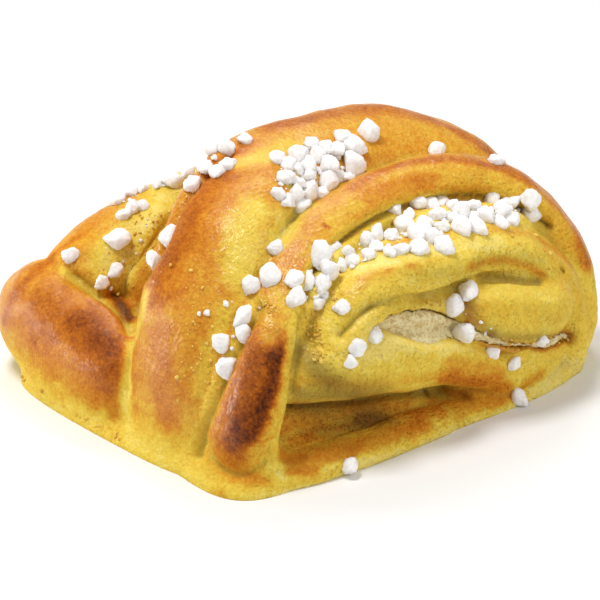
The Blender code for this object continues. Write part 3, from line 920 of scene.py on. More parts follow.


# Each row is an amount, a breadth and places across and up. Strokes of browning and painted light are
# laid over one another in this order; those of another mark add up.
STROKES: tuple[Stroke, ...] = (
    *strokes(Mark.SWOLLEN, (
        # creases and swellings of the folds
        (-1.5, 1.5, (-14.4, 29.6), (-20, 24), (-24.6, 17.6), (-27.4, 11.4), (-30.2, 5.6), (-32.2, 0),
         (-34, -6)),
        (-1.6, 1.3, (-8, -1), (-10.4, -5.6), (-13, -10.4), (-15.6, -16), (-18, -22), (-20, -28),
         (-20.6, -31)),
        (1.3, 4, (-6, -6), (-9, -14), (-11, -20), (-12.4, -27)),
        (-1, 1.2, (-19, -29), (-17.4, -32.4), (-12.4, -35), (-7.6, -33), (-4.8, -28.6)),
        (-1.8, 1.5, (-45.4, 5), (-42.4, 3), (-39.6, 1), (-36.4, -1.6), (-33.6, -4.6)),
        (-2.6, 1.5, (-2, -20.8), (4, -20.4), (12, -20.2), (21, -18.8), (29, -18.4)),
        (-1.5, 0.9, (36, 4.4), (40, 4.4), (44.6, 3.8), (48, 3.6)),
        (0.8, 2.4, (36, 0), (44, 0), (51, -1)),
        (-1.4, 1.2, (1.4, 1), (0.6, -5), (-0.4, -12), (-1.4, -18)),
        (-1.6, 1.3, (8, -7), (10.4, -4.4), (14.4, -1.2), (20, 0), (26, 0.6), (31, 2)),
        (0.6, 2.6, (10, 1), (16, 5), (25, 7), (34, 8)),
        (1.1, 1.8, (35, -6.4), (40, -8.2), (46, -9.2), (52, -7.6)),
        (2, 2.2, (16, -7.4), (20, -9), (25, -10.4), (30, -9.6)),
        (1.8, 2.6, (-33.4, 3.5), (-32.4, 8), (-30.4, 12.5), (-28, 16.5)),
        # crevice under the right lip
        (-2.2, 1, (1.4, 0), (2.6, 5), (6, 9.6), (11, 13.6), (16, 16.6), (22, 18.8), (30, 20.6),
         (38, 20.4), (44, 18.4), (50, 14.6)),
    )),
    *strokes(Mark.SUNK, (
        (2.4, 1.4, (29, -18), (33, -19.6)),
        (1.8, 0.6, (26, -19), (26.4, -19.2)),
        (2.6, 1.8, (-37, 0.8), (-35.6, -1.2), (-34.6, -2.8)),
        (1.6, 0.7, (52.2, 6.4), (52.8, 5.6)),
    )),
    *strokes(Mark.BAKED, (
        # left lobe
        (0.55, 15, (-53, -4), (-46, -9), (-38, -14)),
        (0.52, 5, (-52, -11), (-46, -15.5), (-38, -20)),
        (0.69, 9.6, (-52, -3), (-46, -5), (-41, -9), (-38, -14)),
        (0.82, 5, (-44, -4.6), (-41.6, -6.6), (-39, -9.6), (-37.6, -12)),
        (0.7, 2.8, (-44, 12), (-48, 9.6), (-52, 6.6), (-57, 1), (-59, -4)),
        (0.16, 1.3, (-47.6, 6), (-44, 3.2), (-40, 0), (-36.4, -3), (-33.4, -6)),
        (0.05, 2, (-35, -5), (-33.6, -7)),
        # hollow between the left lobe and the left lip
        (0.05, 8, (-38, 8), (-33, 14), (-27, 20), (-21, 26)),
        (0.42, 2.2, (-48, 9), (-40, 14), (-33, 18.6)),
        (0.5, 3, (-38.4, 2.4), (-35.4, 0.4), (-32.6, 2)),
        # painted shade: this darkest stroke fills the deep crease at the hollow's foot, where shade
        # falls
        (0.86, 2, (-37, 0.6), (-35.4, -1.4), (-34, -3.4)),
        # left lip
        (0.48, 9, (-14, 22), (-18, 10), (-22, -2), (-25, -16)),
        (0.6, 8.5, (-12.6, 28.6), (-17.6, 22.6), (-21.6, 16), (-24.4, 10), (-27, 4)),
        (0.72, 4.6, (-12.8, 29), (-18, 23.4), (-22.2, 17), (-25, 11), (-27.6, 5.4), (-29.2, 0.6)),
        # painted highlight: the lip's right slope is painted paler where the sheen falls
        (0.12, 5.5, (-9, 18), (-11.5, 12), (-12, 6)),
        (0.6, 5.5, (-27.4, -7), (-28, -15), (-26.6, -23)),
        (0.24, 2.4, (-15, -2), (-17.6, -9), (-20.4, -18)),
        (0.09, 2.4, (-31, 1), (-31.4, -2), (-32.6, -6), (-34, -13), (-34.8, -22), (-33.4, -29)),
        (0.08, 3.2, (-35.5, 3.6), (-33.4, 8.6), (-30.4, 14), (-27, 19.4)),
        # saddle and crown
        # painted highlight: the saddle is painted paler where the sheen falls
        (0.04, 4.5, (-4, 12), (-1, 18), (1, 24)),
        (0.22, 4, (-12, 27.5), (-7, 29), (-2, 31)),
        (0.4, 6, (-1, 34), (12, 35), (26, 33), (38, 28), (48, 21), (55, 12)),
        (0.66, 4.6, (-6, 34.6), (4, 37), (10, 38.2), (16, 38.4), (22, 37.4), (28, 35.6), (34, 32.6),
         (38, 29.8), (42, 26.2), (46, 23.6), (50, 20.2), (54, 15.2), (57.6, 8)),
        # cut face of the right ear, before its folds
        (0.1, 16, (4, -8), (14, -6), (26, -3), (38, 0), (48, 0)),
        (0.1, 6.5, (5, 3), (10, 9), (18, 13), (28, 16), (38, 17.6), (47, 16)),
        # ridge and flank of the right lip
        (0.34, 5, (3, 10), (8, 17), (15, 22), (24, 25), (36, 25), (46, 21), (53, 14)),
        (0.66, 2.4, (11, 22.6), (14, 24.8), (19, 26.8), (26, 28.2), (33, 28), (41, 26), (47, 23)),
        (0.42, 1.6, (11, 16.6), (17, 19.6), (23, 21.6), (30, 22.6), (38, 22.4)),
        (0.54, 3.2, (13, 20.6), (20, 23.2), (27, 24.4)),
        (0.8, 0.8, (4.8, 15), (5.6, 14.6)),
        # front lobe of the right lip
        (0.3, 5, (-5.6, -4.6), (-7, -8)),
        (0.6, 8, (-7.6, -11), (-9.8, -19), (-12.4, -27), (-14, -31)),
        (0.78, 6.8, (-7.6, -9), (-8.8, -14), (-10.8, -20), (-13.2, -26.4)),
        (0.97, 2.9, (-4.6, -10.4), (-5.4, -16), (-7.4, -22), (-10.4, -27.4)),
        (0.88, 3, (-11.8, -25), (-13.8, -28.6)),
        (0.4, 3.2, (-5.6, -4.6), (-6.6, -7.4)),
        (0.2, 1.7, (1.4, -1), (0.4, -8), (-1.4, -15.4), (-3.4, -25.4), (-5.8, -31.6)),
        # groove
        (0.22, 2.4, (-8.4, 0), (-11.6, -7), (-15.4, -15), (-19, -23), (-20.8, -30)),
        # right ear: ledge and second layer
        (0.1, 2.8, (3, 2), (8, 7.4), (14, 11.6), (24, 15.4), (36, 17.4), (46, 16.6)),
        (0.14, 4.5, (3.6, -7), (5, 0), (10, 5.4), (20, 9), (36, 11.4), (46, 11)),
        (0.02, 3, (12, 6.4), (20, 8.4), (30, 10.6), (40, 11.6)),
        (0.26, 3.6, (50, 9), (54, 4), (57, -2)),
        # painted shade: the shadow of a shallow fold above the second layer
        (0.46, 1.5, (34, 6.6), (40, 8), (45, 7), (49, 4.6)),
        (0.22, 4, (36, -2), (44, -3), (52, -3)),
        # these two: the left end of the back fold, browned and partly painted shade
        (0.52, 1.2, (33.4, 0), (33.6, -4), (35, -6.4)),
        (0.36, 2.2, (34, -2.6), (36, -4.4)),
        # right ear: front fold
        # painted highlight: the front fold's top is painted palest where the light falls
        (0, 3.6, (12, -10.6), (20, -9), (29, -9.6), (36, -12)),
        # browner, and partly painted shade on the fold's lower side
        (0.32, 2.4, (2, -16), (10, -17), (20, -16.4), (27, -15)),
        (0.44, 3.4, (30, -12.4), (35, -13.6), (40, -15)),
        (0.64, 3.4, (29, -15.6), (35, -16.6), (41, -17.6)),
        # right ear: recessed wall and the base's lip
        # the recessed wall is browned, and partly painted shade, as it lies in the front fold's
        # shadow
        (0.46, 6, (-2, -25), (8, -24.4), (18, -22.8), (28, -21.4), (36, -19)),
        (0.5, 4, (-3, -31), (6, -30), (16, -27.6), (25, -24.6)),
        (0.56, 2.6, (-3, -31.8), (3, -31.6), (10, -30.4)),
        (0.34, 1.8, (1, -27.2), (6, -27)),
        # painted shade in the hole at the wall's right end
        (0.52, 1.8, (29, -18.2), (32.6, -19.6)),
        (0.48, 2.6, (36, -20.6), (42, -19), (48, -15)),
        (0.2, 1.6, (-6, -37.4), (0, -36.4), (8, -34)),
        (0.02, 1.6, (10, -33.4), (20, -30.8), (29, -28)),
        (0.56, 1.8, (-2, -34.4), (3, -33.8)),
        (0.46, 2.4, (-12, -35.6), (-7, -36)),
    )),
    *strokes(Mark.STREAKED, (
        (1, 6, (-2, -27), (8, -26), (18, -24), (28, -21.6)),
    )),
    # painted shade where shade falls on the crumb; negative rows take away the painted shade of the
    # hollows
    *strokes(Mark.DIM, (
        # hollow between the left lobe and the left lip
        (0.7, 1.5, (-37, 0.6), (-35.4, -1.4), (-34, -3.4)),
        (-0.3, 6, (-36, 6), (-31, 12), (-26, 19)),
        # ridge and flank of the right lip
        (0.7, 0.8, (1.4, 0), (2.6, 5), (6, 9.8), (11, 13.8), (16, 16.8), (22, 19), (30, 20.8),
         (38, 20.6), (44, 18.6), (50, 14.8)),
        # right ear: ledge and second layer
        (0.5, 0.7, (36, 4.6), (40, 4.6), (44.6, 4), (48, 3.8)),
        (0.5, 2, (34, -1), (35, -4.6), (38, -6.6)),
        (0.35, 0.9, (8, -7), (10.4, -4.4), (14.4, -1.2)),
        (0.22, 2.6, (1, -13), (4, -14.4), (8, -15.4)),
        (0.16, 3, (49, -4.6), (52, -4.2), (55, -3)),
        (0.6, 1.9, (31, -6.4), (38, -7.2), (46, -7.6), (54, -7)),
        (0.3, 1.8, (14, -1.6), (20, -0.4), (27, 0), (32, -1.6)),
        (-0.15, 4, (6, 6), (5, 0), (5, -8)),
        (0.22, 2.4, (22, 5.6), (29, 5), (34, 5.6)),
        (0.25, 2.2, (36, 7.6), (42, 8.6), (48, 7.4)),
        # right ear: front fold
        (0.6, 3, (1, -10), (3.4, -14), (7, -17), (16, -18.2)),
        # right ear: recessed wall and the base's lip
        (0.2, 2.6, (-2, -32.6), (4, -32.4), (10, -31)),
        (0.46, 3.6, (0, -20.8), (4, -22), (9, -22.8), (14, -23)),
        (0.09, 5, (0, -25), (8, -25), (18, -23.6), (27, -21.4)),
        (0.6, 2.4, (0, -18.8), (4, -19.2), (8, -19.4), (11, -19.4)),
        (0.5, 1.3, (-2.6, -20.8), (4, -20.8), (12, -20.4), (20, -19.2), (28, -18.6)),
        (0.4, 2.6, (12, -23.6), (18, -24)),
    )),
    *strokes(Mark.TORN, (
        # hollow between the left lobe and the left lip
        (-0.3, 8, (-38, 8), (-33, 14), (-27, 20)),
        # right ear: ledge and second layer
        (0.8, 2.6, (2.4, -3), (3.4, -8), (5, -12)),
        # right ear: recessed wall and the base's lip
        (0.6, 6, (-2, -27), (8, -26), (18, -24), (28, -21.6)),
    )),
    *strokes(Mark.GLAZED, (
        (0.5, 6, (-8, 20), (-12, 14), (-14, 8)),
        (0.1, 5, (-56, -3), (-52, 2), (-46, 5)),
        (0.3, 5, (-7, -8), (-10, -18), (-13, -26)),
        (0.25, 5, (-27, -10), (-27, -22)),
        (0.5, 6, (-4, 10), (-2, 18), (2, 32)),
        (-0.5, 8, (-38, 8), (-33, 14), (-27, 20)),
        (-0.5, 5, (-44, -5), (-38, -11)),
        (-0.5, 4, (-52, 6), (-48, 10), (-43, 13)),
        (-0.4, 3, (-5, -14), (-8, -24)),
        (-0.6, 4.5, (-18, 22.6), (-21, 15), (-24.4, 9), (-27, 3)),
    )),
)


@dataclass
class Dough:
    """The bun's dough: rolls and folds melted together, browned, glazed and torn, with painted shade
    and painted highlights.
    """

    crown_height: float = 51.4
    right_lip_height: float = 46.0
    ear_height: float = 38.5
    left_ear_height: float = 37.5
    left_valley_height: float = 37.5
    base_half_length: float = 50.0
    base_half_width: float = 37.5
    base_lip: float = 5.5
    grain: float = 0.6  # voxel that melts the rolls together
    soften_rounds: int = 4
    soften_share: float = 0.5
    weld: float = 1e-4  # how near the floor counts as on it, when it is cut flat
    # shaping
    foot_from: Pair = (0.2, 2.0)  # heights and place of the feet, which are smoothed most
    foot_to: Pair = (7.0, 15.0)
    foot_back: Pair = (-24.0, -14.0)
    foot_rounds: int = 104
    lumps: tuple[Ripple, ...] = (Ripple(11.0, 1, 0.35), Ripple(4.5, 2, 0.14))
    crease_rounds: int = 21
    crease_limit: float = 0.5
    crease_depth: float = 0.6
    torn_turn: Pair = (0.45, 0.85)  # how far a face turns to X for its crumb to show
    crumb: Ripple = Ripple(1.6, 3, 0.10)
    tears: Ripple = Ripple(1.3, 4, 0.30)
    above_floor: Pair = (0.0, 3.0)
    sharp: Pair = (0.06, 0.2)  # bulges that are worn smooth
    sharp_rounds: int = 3
    worn_rounds: int = 4
    # baking
    ridge_rounds: int = 111
    ridge_baked: Pair = (0.0, 1.6)
    ridge_glazed: Pair = (-0.2, 1.0)
    groove_rounds: int = 28
    groove: Pair = (0.05, 0.55)
    # painted shade in hollows, darker the deeper they lie: rounds of smoothing that measure them, the
    # depths that darken, the heights it starts from, and its strength
    fold_rounds: int = 49
    fold: Pair = (0.10, 0.8)
    fold_above: Pair = (0.5, 3.0)
    fold_painted_shade: float = 0.3
    cut_turn: Pair = (0.5, 0.85)  # how far a face turns to X to be cut and not crust
    cut_turn_rounds: int = 8
    cut_reach: Pair = (12.0, 22.0)  # how far out along X the cut faces lie
    cut_middle: float = -2.0
    risen: Pair = (4.0, 20.0)  # heights over which the crust browns
    low: Pair = (1.0, 9.0)  # heights that stay pale
    washed: Pair = (5.0, 14.0)  # heights that the egg wash reaches
    crumb_baked: float = 0.20
    crust_baked: float = 0.10
    risen_baked: float = 0.14
    ridge_browning: float = 0.14
    groove_paling: float = 0.10
    low_paling: float = 0.17
    ragged: tuple[Ripple, ...] = (Ripple(2.6, 7, 0.22), Ripple(0.9, 8, 0.14))
    feather: Pair = (0.15, 1.0)  # where a baked stroke fades, in breadths
    cover: float = 0.92  # how far it hides what lies under it
    streaks: Ripple = Ripple((5.0, 5.0, 1.1), 9, 0.13)
    washed_flat: float = 0.35
    washed_ridge: float = 0.5
    torn_crust: float = 0.25
    torn_cut: float = 0.6
    finish: DoughFinish = DoughFinish()
    seen: SeenSide = SeenSide()
    strokes: tuple[Stroke, ...] = STROKES
    surface: Surface = field(init=False)

    def rolls(self) -> dict[str, ArchRoll | LaidRoll | Cushion]:
        """List every roll and fold of the dough by name."""
        return {
            "base": Cushion(
                (0, 6.5, 0), (self.base_half_width, self.base_half_length, self.base_lip), 2.6, 3.8,
                shear=(0.03, 0.1)),
            "base_edge": LaidRoll(
                ((14, -36, 1), (30.5, -28, 1.5), (34, -10, 1.5), (34.5, 14, 1.5)),
                ((3.5, 5), (3.5, 5), (3.5, 4.8), (3, 4))),
            "base_front_right": Cushion((19.5, -24, 0), (17, 16.4, 6), 2.6, 3.2),
            "base_front_left": Cushion((-20.5, -27.3, 0), (17, 17.4, 12), 4, 3.2),
            "heart": Cushion((5, 10, 4), (24, 43, 32), 2.6, 3.2),
            "pressed_strip": ArchRoll(
                (13, -33), (4, 14), (13, 57), 45, (14, 14, 14), (14, 22, 24), square=(2.5, 2.6),
                flare=(1.3, 3), tuck=3),
            "right_lip": ArchRoll(
                (25.5, -37.5), (13, 19), (24.5, 60), self.right_lip_height, (11, 9, 11),
                (19, 13, 16), square=(2.3, 2.8), flare=(1.7, 2.5), tilt=-0.3, tuck=4),
            "left_lip": ArchRoll(
                (11, -40.5), (-4, 0), (9, 61.5), self.crown_height, (15, 11, 12), (28, 22, 24),
                square=(2.2, 3), flare=(1.15, 4), tilt=-0.2, tuck=4),
            "left_valley": ArchRoll(
                (-16, -29), (-19, 16), (-12, 56), self.left_valley_height, (12, 12, 12),
                (22, 24, 16), square=(3, 2.4), drop=0.12, tuck=3),
            "left_rim": ArchRoll(
                (-30, -39), (-28, 18), (-26, 53), self.left_ear_height, (16, 11, 12), (22, 14, 16),
                square=(4.5, 2.4), drop=0.14, tuck=3),
            "left_lobe": LaidRoll(
                ((-44.5, -34, 8.8), (-34, -33.5, 10.2), (-20, -33, 9.6), (1, -33, 6.6)),
                ((13, 11), (13.2, 11.5), (11.7, 11.5), (11, 12)), spindle=3.4),
            "second_layer": ArchRoll(
                (27.5, -21), (24.5, 13), (26, 55), self.ear_height, (11, 12, 12), (15, 19, 18),
                square=(2.9, 2.5), start=0.12, tuck=2),
            "ledge": LaidRoll(
                ((19, 4, 31), (20, 18, 35.5), (21, 34, 33.5), (21, 50, 24)),
                ((4, 5), (4.5, 6), (4.5, 6), (4, 5))),
            "back_fold": LaidRoll(
                ((31, 16, 25), (32.5, 28, 20), (31, 46, 16)), ((5.5, 6), (7.5, 8), (7, 7))),
            "front_fold": LaidRoll(
                ((20, -27, 19), (26.5, -18, 19.5), (30, -8, 18.8), (31, 3, 17), (31.5, 13, 14),
                 (32, 23, 9), (32, 32, 4.5)),
                ((6, 7), (6.5, 7), (7, 7), (7, 7), (6, 6.5), (4.5, 5), (4, 4))),
            "mouth": LaidRoll(
                ((27, -10, 25), (28.5, 0, 26), (29, 11, 26), (29, 21, 22)),
                ((3, 3), (4, 4.5), (5, 5), (5, 5))),
            "low_wall": LaidRoll(
                ((17, -31, 6), (21, -8, 6), (24, 14, 5), (27, 30, 5)),
                ((8, 8), (8, 8), (7.5, 7.5), (7, 7))),
            "low_back_fold": LaidRoll(
                ((28.5, 22, 5), (30, 35, 6), (24, 46, 6)), ((7, 7), (8, 7.5), (7, 8))),
            "far_back_fold": LaidRoll(
                ((-28, 10, 22), (-30, 26, 18), (-29, 42, 13)), ((5, 6), (7, 7), (6, 6))),
            "far_front_fold": LaidRoll(
                ((-27, -20, 17), (-29, -6, 18), (-30, 8, 14), (-30, 22, 8)),
                ((6, 7), (7, 7), (7, 7), (5, 6))),
            "far_low_fold": LaidRoll(
                ((-27, -6, 4), (-28, 18, 4), (-27, 44, 6)), ((5, 6), (5, 7), (7, 7))),
        }

    def melt(self) -> Object:
        """Join the rolls into one soft body, cut flat at the floor.

        Returns:
            The dough, in the layout.
        """
        dough = new_object("dough", *merged(roll.mesh() for roll in self.rolls().values()))
        melt = dough.modifiers.new("melt", "REMESH")
        melt.mode = "VOXEL"
        melt.voxel_size = self.grain
        soften = dough.modifiers.new("soften", "SMOOTH")
        soften.factor = self.soften_share
        soften.iterations = self.soften_rounds
        apply_modifiers(dough)
        bm = bmesh.new()
        bm.from_mesh(dough.data)
        bmesh.ops.bisect_plane(bm, geom=bm.verts[:] + bm.edges[:] + bm.faces[:], dist=self.weld,
                               plane_co=(0, 0, 0), plane_no=(0, 0, -1), clear_outer=True)
        bmesh.ops.holes_fill(bm, edges=[edge for edge in bm.edges if edge.is_boundary], sides=0)
        bmesh.ops.recalc_face_normals(bm, faces=bm.faces)
        bm.to_mesh(dough.data)
        bm.free()
        return dough

    def touched(self, stroke: Stroke, tree: BVHTree, reach: float) -> tuple[np.ndarray, np.ndarray]:
        """Find the dough's points near a stroke, which is traced about every millimetre.

        Args:
            stroke: the stroke.
            tree: the dough's faces.
            reach: how far from its line to look, in its breadths.

        Returns:
            The points' indices and their distances; none where the stroke misses the dough.
        """
        line = flat(stroke.line)
        steps = max(2, int(run_lengths(line)[-1]))
        places = [through(line, i / steps) for i in range(steps + 1)]
        hits = [tree.ray_cast(self.seen.eye, self.seen.ray(place.x, place.y))[0] for place in places]
        hits = [hit for hit in hits if hit is not None]
        if len(hits) < 2:
            LOG.warning("a %s stroke misses the dough", stroke.mark.value)
            return np.empty(0, int), np.empty(0)
        return self.surface.near(np.array(hits), stroke.breadth * reach)

    def marks(self, tree: BVHTree) -> dict[Mark, np.ndarray]:
        """Add up the strokes of each mark at every point, but for those of browning and painted
        light.

        Args:
            tree: the dough's faces.

        Returns:
            Each mark's amounts.
        """
        reach, fall = 2, 1.4  # a stroke fades in a bell curve, which ends at its reach
        out = {mark: np.zeros(len(self.surface.points)) for mark in Mark}
        for stroke in self.strokes:
            if stroke.mark is not Mark.BAKED:
                index, gap = self.touched(stroke, tree, reach)
                share = np.exp(-(gap / stroke.breadth) ** 2 * fall)
                out[stroke.mark][index] += stroke.amount * share
        return out

    def paint(self, baked: np.ndarray, tree: BVHTree) -> np.ndarray:
        """Brown or pale the points near each stroke of browning and painted light, with ragged edges;
        some of them paint shade, and pale ones paint highlights.

        Args:
            baked: how browned each point is so far.
            tree: the dough's faces.

        Returns:
            How browned each point is with the strokes over one another, painted shade and painted
            highlights among them.
        """
        reach = 1.4
        ragged = 1.0
        for ripple in self.ragged:
            ragged = ragged + self.surface.ripple(ripple)
        for stroke in self.strokes:
            if stroke.mark is Mark.BAKED:
                index, gap = self.touched(stroke, tree, reach)
                share = 1 - smoothstep(self.feather, gap * ragged[index] / stroke.breadth)
                baked[index] += (stroke.amount - baked[index]) * share * self.cover
        return baked

    def shape(self) -> None:
        """Give the melted dough its hand-made unevenness, creases and tears."""
        surface = self.surface
        height = surface.points[:, 2]
        foot = smoothstep(self.foot_from, height) * (1 - smoothstep(self.foot_to, height))
        foot *= 1 - smoothstep(self.foot_back, surface.points[:, 1])
        soft = surface.average(surface.points, self.foot_rounds)
        surface.move((soft - surface.points) * foot[:, None])
        marks = self.marks(surface.tree())
        above = smoothstep(self.above_floor, surface.points[:, 2])
        lumps = sum(surface.ripple(ripple) for ripple in self.lumps)
        crease = np.clip(-surface.bulge(self.crease_rounds), 0, self.crease_limit)
        crumb = smoothstep(self.torn_turn, np.abs(surface.normals[:, 0])) * surface.ripple(self.crumb)
        tears = np.clip(marks[Mark.TORN], 0, 1) * surface.ripple(self.tears)
        out = (lumps + crumb - self.crease_depth * crease + tears) * above + marks[Mark.SWOLLEN]
        pushed = np.array(self.seen.back) * marks[Mark.SUNK][:, None]
        surface.move(surface.normals * out[:, None] - pushed)
        sharp = smoothstep(self.sharp, surface.bulge(self.sharp_rounds)) * above
        worn = surface.average(surface.points, self.worn_rounds)
        surface.move((worn - surface.points) * sharp[:, None])

    def bake(self) -> None:
        """Work out how browned, glazed and torn each point is, and its painted shade and painted
        light, and store it.
        """
        surface = self.surface
        tree = surface.tree()
        marks = self.marks(tree)
        height = surface.points[:, 2]
        ridge = surface.bulge(self.ridge_rounds)
        turned = np.abs(surface.average(surface.normals, self.cut_turn_rounds)[:, 0])
        far = np.abs(surface.points[:, 0] - self.cut_middle)
        cut = smoothstep(self.cut_turn, turned) * smoothstep(self.cut_reach, far)
        crust = 1 - cut
        baked = self.crust_baked + self.risen_baked * smoothstep(self.risen, height)
        baked += self.ridge_browning * smoothstep(self.ridge_baked, ridge)
        baked = self.crumb_baked + crust * baked
        baked -= self.groove_paling * smoothstep(self.groove, -surface.bulge(self.groove_rounds))
        baked -= self.low_paling * (1 - smoothstep(self.low, height))
        baked = self.paint(baked, tree)
        baked += np.clip(marks[Mark.STREAKED], 0, 1) * surface.ripple(self.streaks)
        glazed = self.washed_flat + self.washed_ridge * smoothstep(self.ridge_glazed, ridge)
        glazed = crust * glazed * smoothstep(self.washed, height) + marks[Mark.GLAZED]
        torn = self.torn_crust + self.torn_cut * cut + marks[Mark.TORN]
        # painted shade in the hollows, where shade falls, on top of that of the strokes
        folds = smoothstep(self.fold, -surface.bulge(self.fold_rounds))
        folds *= smoothstep(self.fold_above, height)
        dim = marks[Mark.DIM] + self.fold_painted_shade * folds
        for name, values in (("baked", baked), ("glazed", glazed), ("torn", torn), ("dim", dim)):
            store(surface.obj, name, "FLOAT", np.clip(values, 0, 1).astype(np.float32))

    def build(self, dough: Object) -> None:
        """Shape, bake and dress the melted dough, still in the layout.

        Args:
            dough: the dough, with its slot cut.
        """
        self.surface = Surface(dough)
        self.shape()
        self.bake()
        dress(dough, self.finish.material())


@dataclass
class Filling:
    """The curved layer of almond paste along X, thicker where the ear opens."""

    line: Line = ((-6, 26.4), (-1, 25.8), (7, 23.4), (15, 20.4), (24, 16.2), (36, 10.8), (46, 8.6))
    thickness: float = 5.8
    middle: float = 7.0  # where it is thickest, along Y
    reach: float = 8.5  # how far it thins out to each side
    edge: float = 1.3  # thickness at its ends
    gap: float = 0.06  # clearance to the dough
    half_run: float = 60.0
    steps: int = 60
    core_steps: int = 200
    face_from: Pair = (20, 24)  # from how far out along X its ends count as shown
    dome: Pair = (0.3, 1.3)  # how far its shown face domes, at the tails and more in the middle
    proud: float = 0.1  # how far all of that face stands out
    relief: float = 0.3  # height of its grains
    raised: float = 0.4  # how far the grains stand out on the whole, in their height
    grains: tuple[Ripple, ...] = (Ripple(0.9, 5), Ripple(0.5, 6, 0.6))
    tail_depth: float = 0.9  # how far its thin tails lie back from the cut face
    finish: GrainyFinish = ALMOND_PASTE

    def route(self) -> list[Vector]:
        """Give the layer's line, across the bun."""
        return [Vector((0, y, z)) for y, z in self.line]

    def swell(self, y: np.ndarray) -> np.ndarray:
        """Find how swollen the layer is at y, 1 in the middle and 0 at its tails."""
        return np.exp(-((y - self.middle) / self.reach) ** 2)

    def half(self, swell: np.ndarray) -> np.ndarray:
        """Find half the layer's thickness."""
        return (self.edge + (self.thickness - self.edge) * swell) / 2

    def slab(self, name: str, grow: float) -> Object:
        """Make the layer, long enough to pass through the dough.

        Args:
            name: the object's name.
            grow: how much larger it is all round.

        Returns:
            The slab.
        """
        line = self.route()
        nearby = 0.01  # of the way, over which the line's direction is taken
        ends = {0: -1, self.steps: 1}
        upper, lower = [], []
        for i in range(self.steps + 1):
            way = i / self.steps
            here = through(line, way)
            along = through(line, min(way + nearby, 1)) - through(line, max(way - nearby, 0))
            along.normalize()
            out = Vector((0, -along.z, along.y))
            half = float(self.half(self.swell(here.y))) + grow
            reach = along * grow * ends.get(i, 0)
            upper.append(here + out * half + reach)
            lower.append(here - out * half + reach)
        outline = upper + lower[::-1]
        half_run = self.half_run + grow
        verts = [point + Vector((x, 0, 0)) for x in (-half_run, half_run) for point in outline]
        slab = new_object(name, verts, skin(2, len(outline)))
        bm = bmesh.new()
        bm.from_mesh(slab.data)
        bmesh.ops.recalc_face_normals(bm, faces=bm.faces)
        bm.to_mesh(slab.data)
        bm.free()
        return slab

    def build(self, dough: Object) -> Object:
        """Make the paste from the melted dough, cut its slot, and roughen what shows.

        Args:
            dough: the melted dough.

        Returns:
            The paste, still in the layout.
        """
        paste = self.slab("almond_paste", 0.0)
        combine(paste, dough, "INTERSECT")
        slot = self.slab("slot", self.gap)
        combine(dough, slot, "DIFFERENCE")
        bpy.data.objects.remove(slot)
        surface = Surface(paste)
        line = self.route()
        gap = np.full(len(surface.points), np.inf)
        for i in range(self.core_steps + 1):
            core = np.array(through(line, i / self.core_steps).yz)
            gap = np.minimum(gap, np.linalg.norm(surface.points[:, 1:] - core, axis=1))
        swell = self.swell(surface.points[:, 1])
        shown = smoothstep(self.face_from, np.abs(surface.points[:, 0]))
        dome = np.sqrt(np.clip(1 - (gap / self.half(swell)) ** 2, 0, 1))
        dome = dome * (self.dome[0] + self.dome[1] * swell) + self.proud
        dome -= self.tail_depth * (1 - swell)
        out = self.relief * (self.raised + sum(surface.ripple(grain) for grain in self.grains))
        side = np.sign(surface.points[:, 0])[:, None] * np.array((1.0, 0.0, 0.0))
        surface.move(surface.normals * (out * shown)[:, None] + side * (dome * shown)[:, None])
        dress(paste, self.finish.material())
        return paste


DRIFTS: tuple[tuple[Line, float, int, float], ...] = (  # line, breadth, count, size
    (((1, 1), (6, 6), (12, 10), (20, 12), (27, 13)), 2.8, 26, 4.0),
    (((24, 18), (30, 16), (37, 17), (45, 18.5)), 2.8, 20, 4.0),
    (((-3, 26), (3, 28.5), (9, 28.8)), 2.2, 13, 4.4),
    (((-3, 20), (2, 23.5), (8, 25.5)), 2.4, 12, 4.2),
    (((-36, 19), (-29, 23), (-22, 25.5), (-15, 28.5)), 2.6, 20, 3.8),
)
SINGLES: tuple[Triple, ...] = (  # across, up, size
    (8.4, 32.2, 3.8), (13.4, 33.2, 5), (27, 29.8, 3.8), (39.2, 27.6, 3.2), (-11.2, 31.8, 3.2),
    (-45.6, 8.8, 3.8), (-36.2, 12.2, 5.2), (-26, 12.8, 4.4), (-39.6, 3.6, 3.6), (-37, 6, 3.6),
    (-29, 8, 3.4), (-5.2, 10, 4.2), (-5.6, 5, 4.4), (-10, 3, 4), (-11.2, -3.2, 4.4),
    (-11.4, -6.6, 3.6), (-15.8, -8.6, 4.6), (-14.6, -13.6, 4.2), (18.8, 18, 3.4), (33.8, 1.8, 4.4),
    (30.6, -1, 4.4), (32.8, -6.4, 4.2), (38.4, -9.8, 4), (42.6, -12.6, 2.8), (48.2, -7.8, 3),
    (14.4, -7.4, 4.2), (11, -9.4, 3.6), (10, -12.4, 3.4), (43.8, -19.8, 3.8), (8.4, -1.4, 3.2),
    (9.8, -33, 4),
)
SUGAR_DUST: tuple[tuple[Line, float, int], ...] = (  # line, breadth, count
    (((-3, 25), (1, 24), (5, 27), (9, 29)), 2.6, 90),
    (((1, 1), (6, 6), (12, 10), (20, 12), (27, 13)), 2.6, 60),
    (((26, 17.5), (31, 16.5), (37, 17), (44, 18)), 2.4, 80),
    (((-34, 20), (-29, 23), (-22, 25.5), (-16, 28.5)), 3.0, 50),
    (((-39, 5), (-34, 11), (-28, 16)), 4.0, 9),
    (((-9, 0), (-13, -8), (-17, -16)), 2.4, 10),
    (((-16, 4), (-20, -4)), 5.0, 5),
    (((33, 0), (40, -9), (44, -12)), 2.0, 8),
)
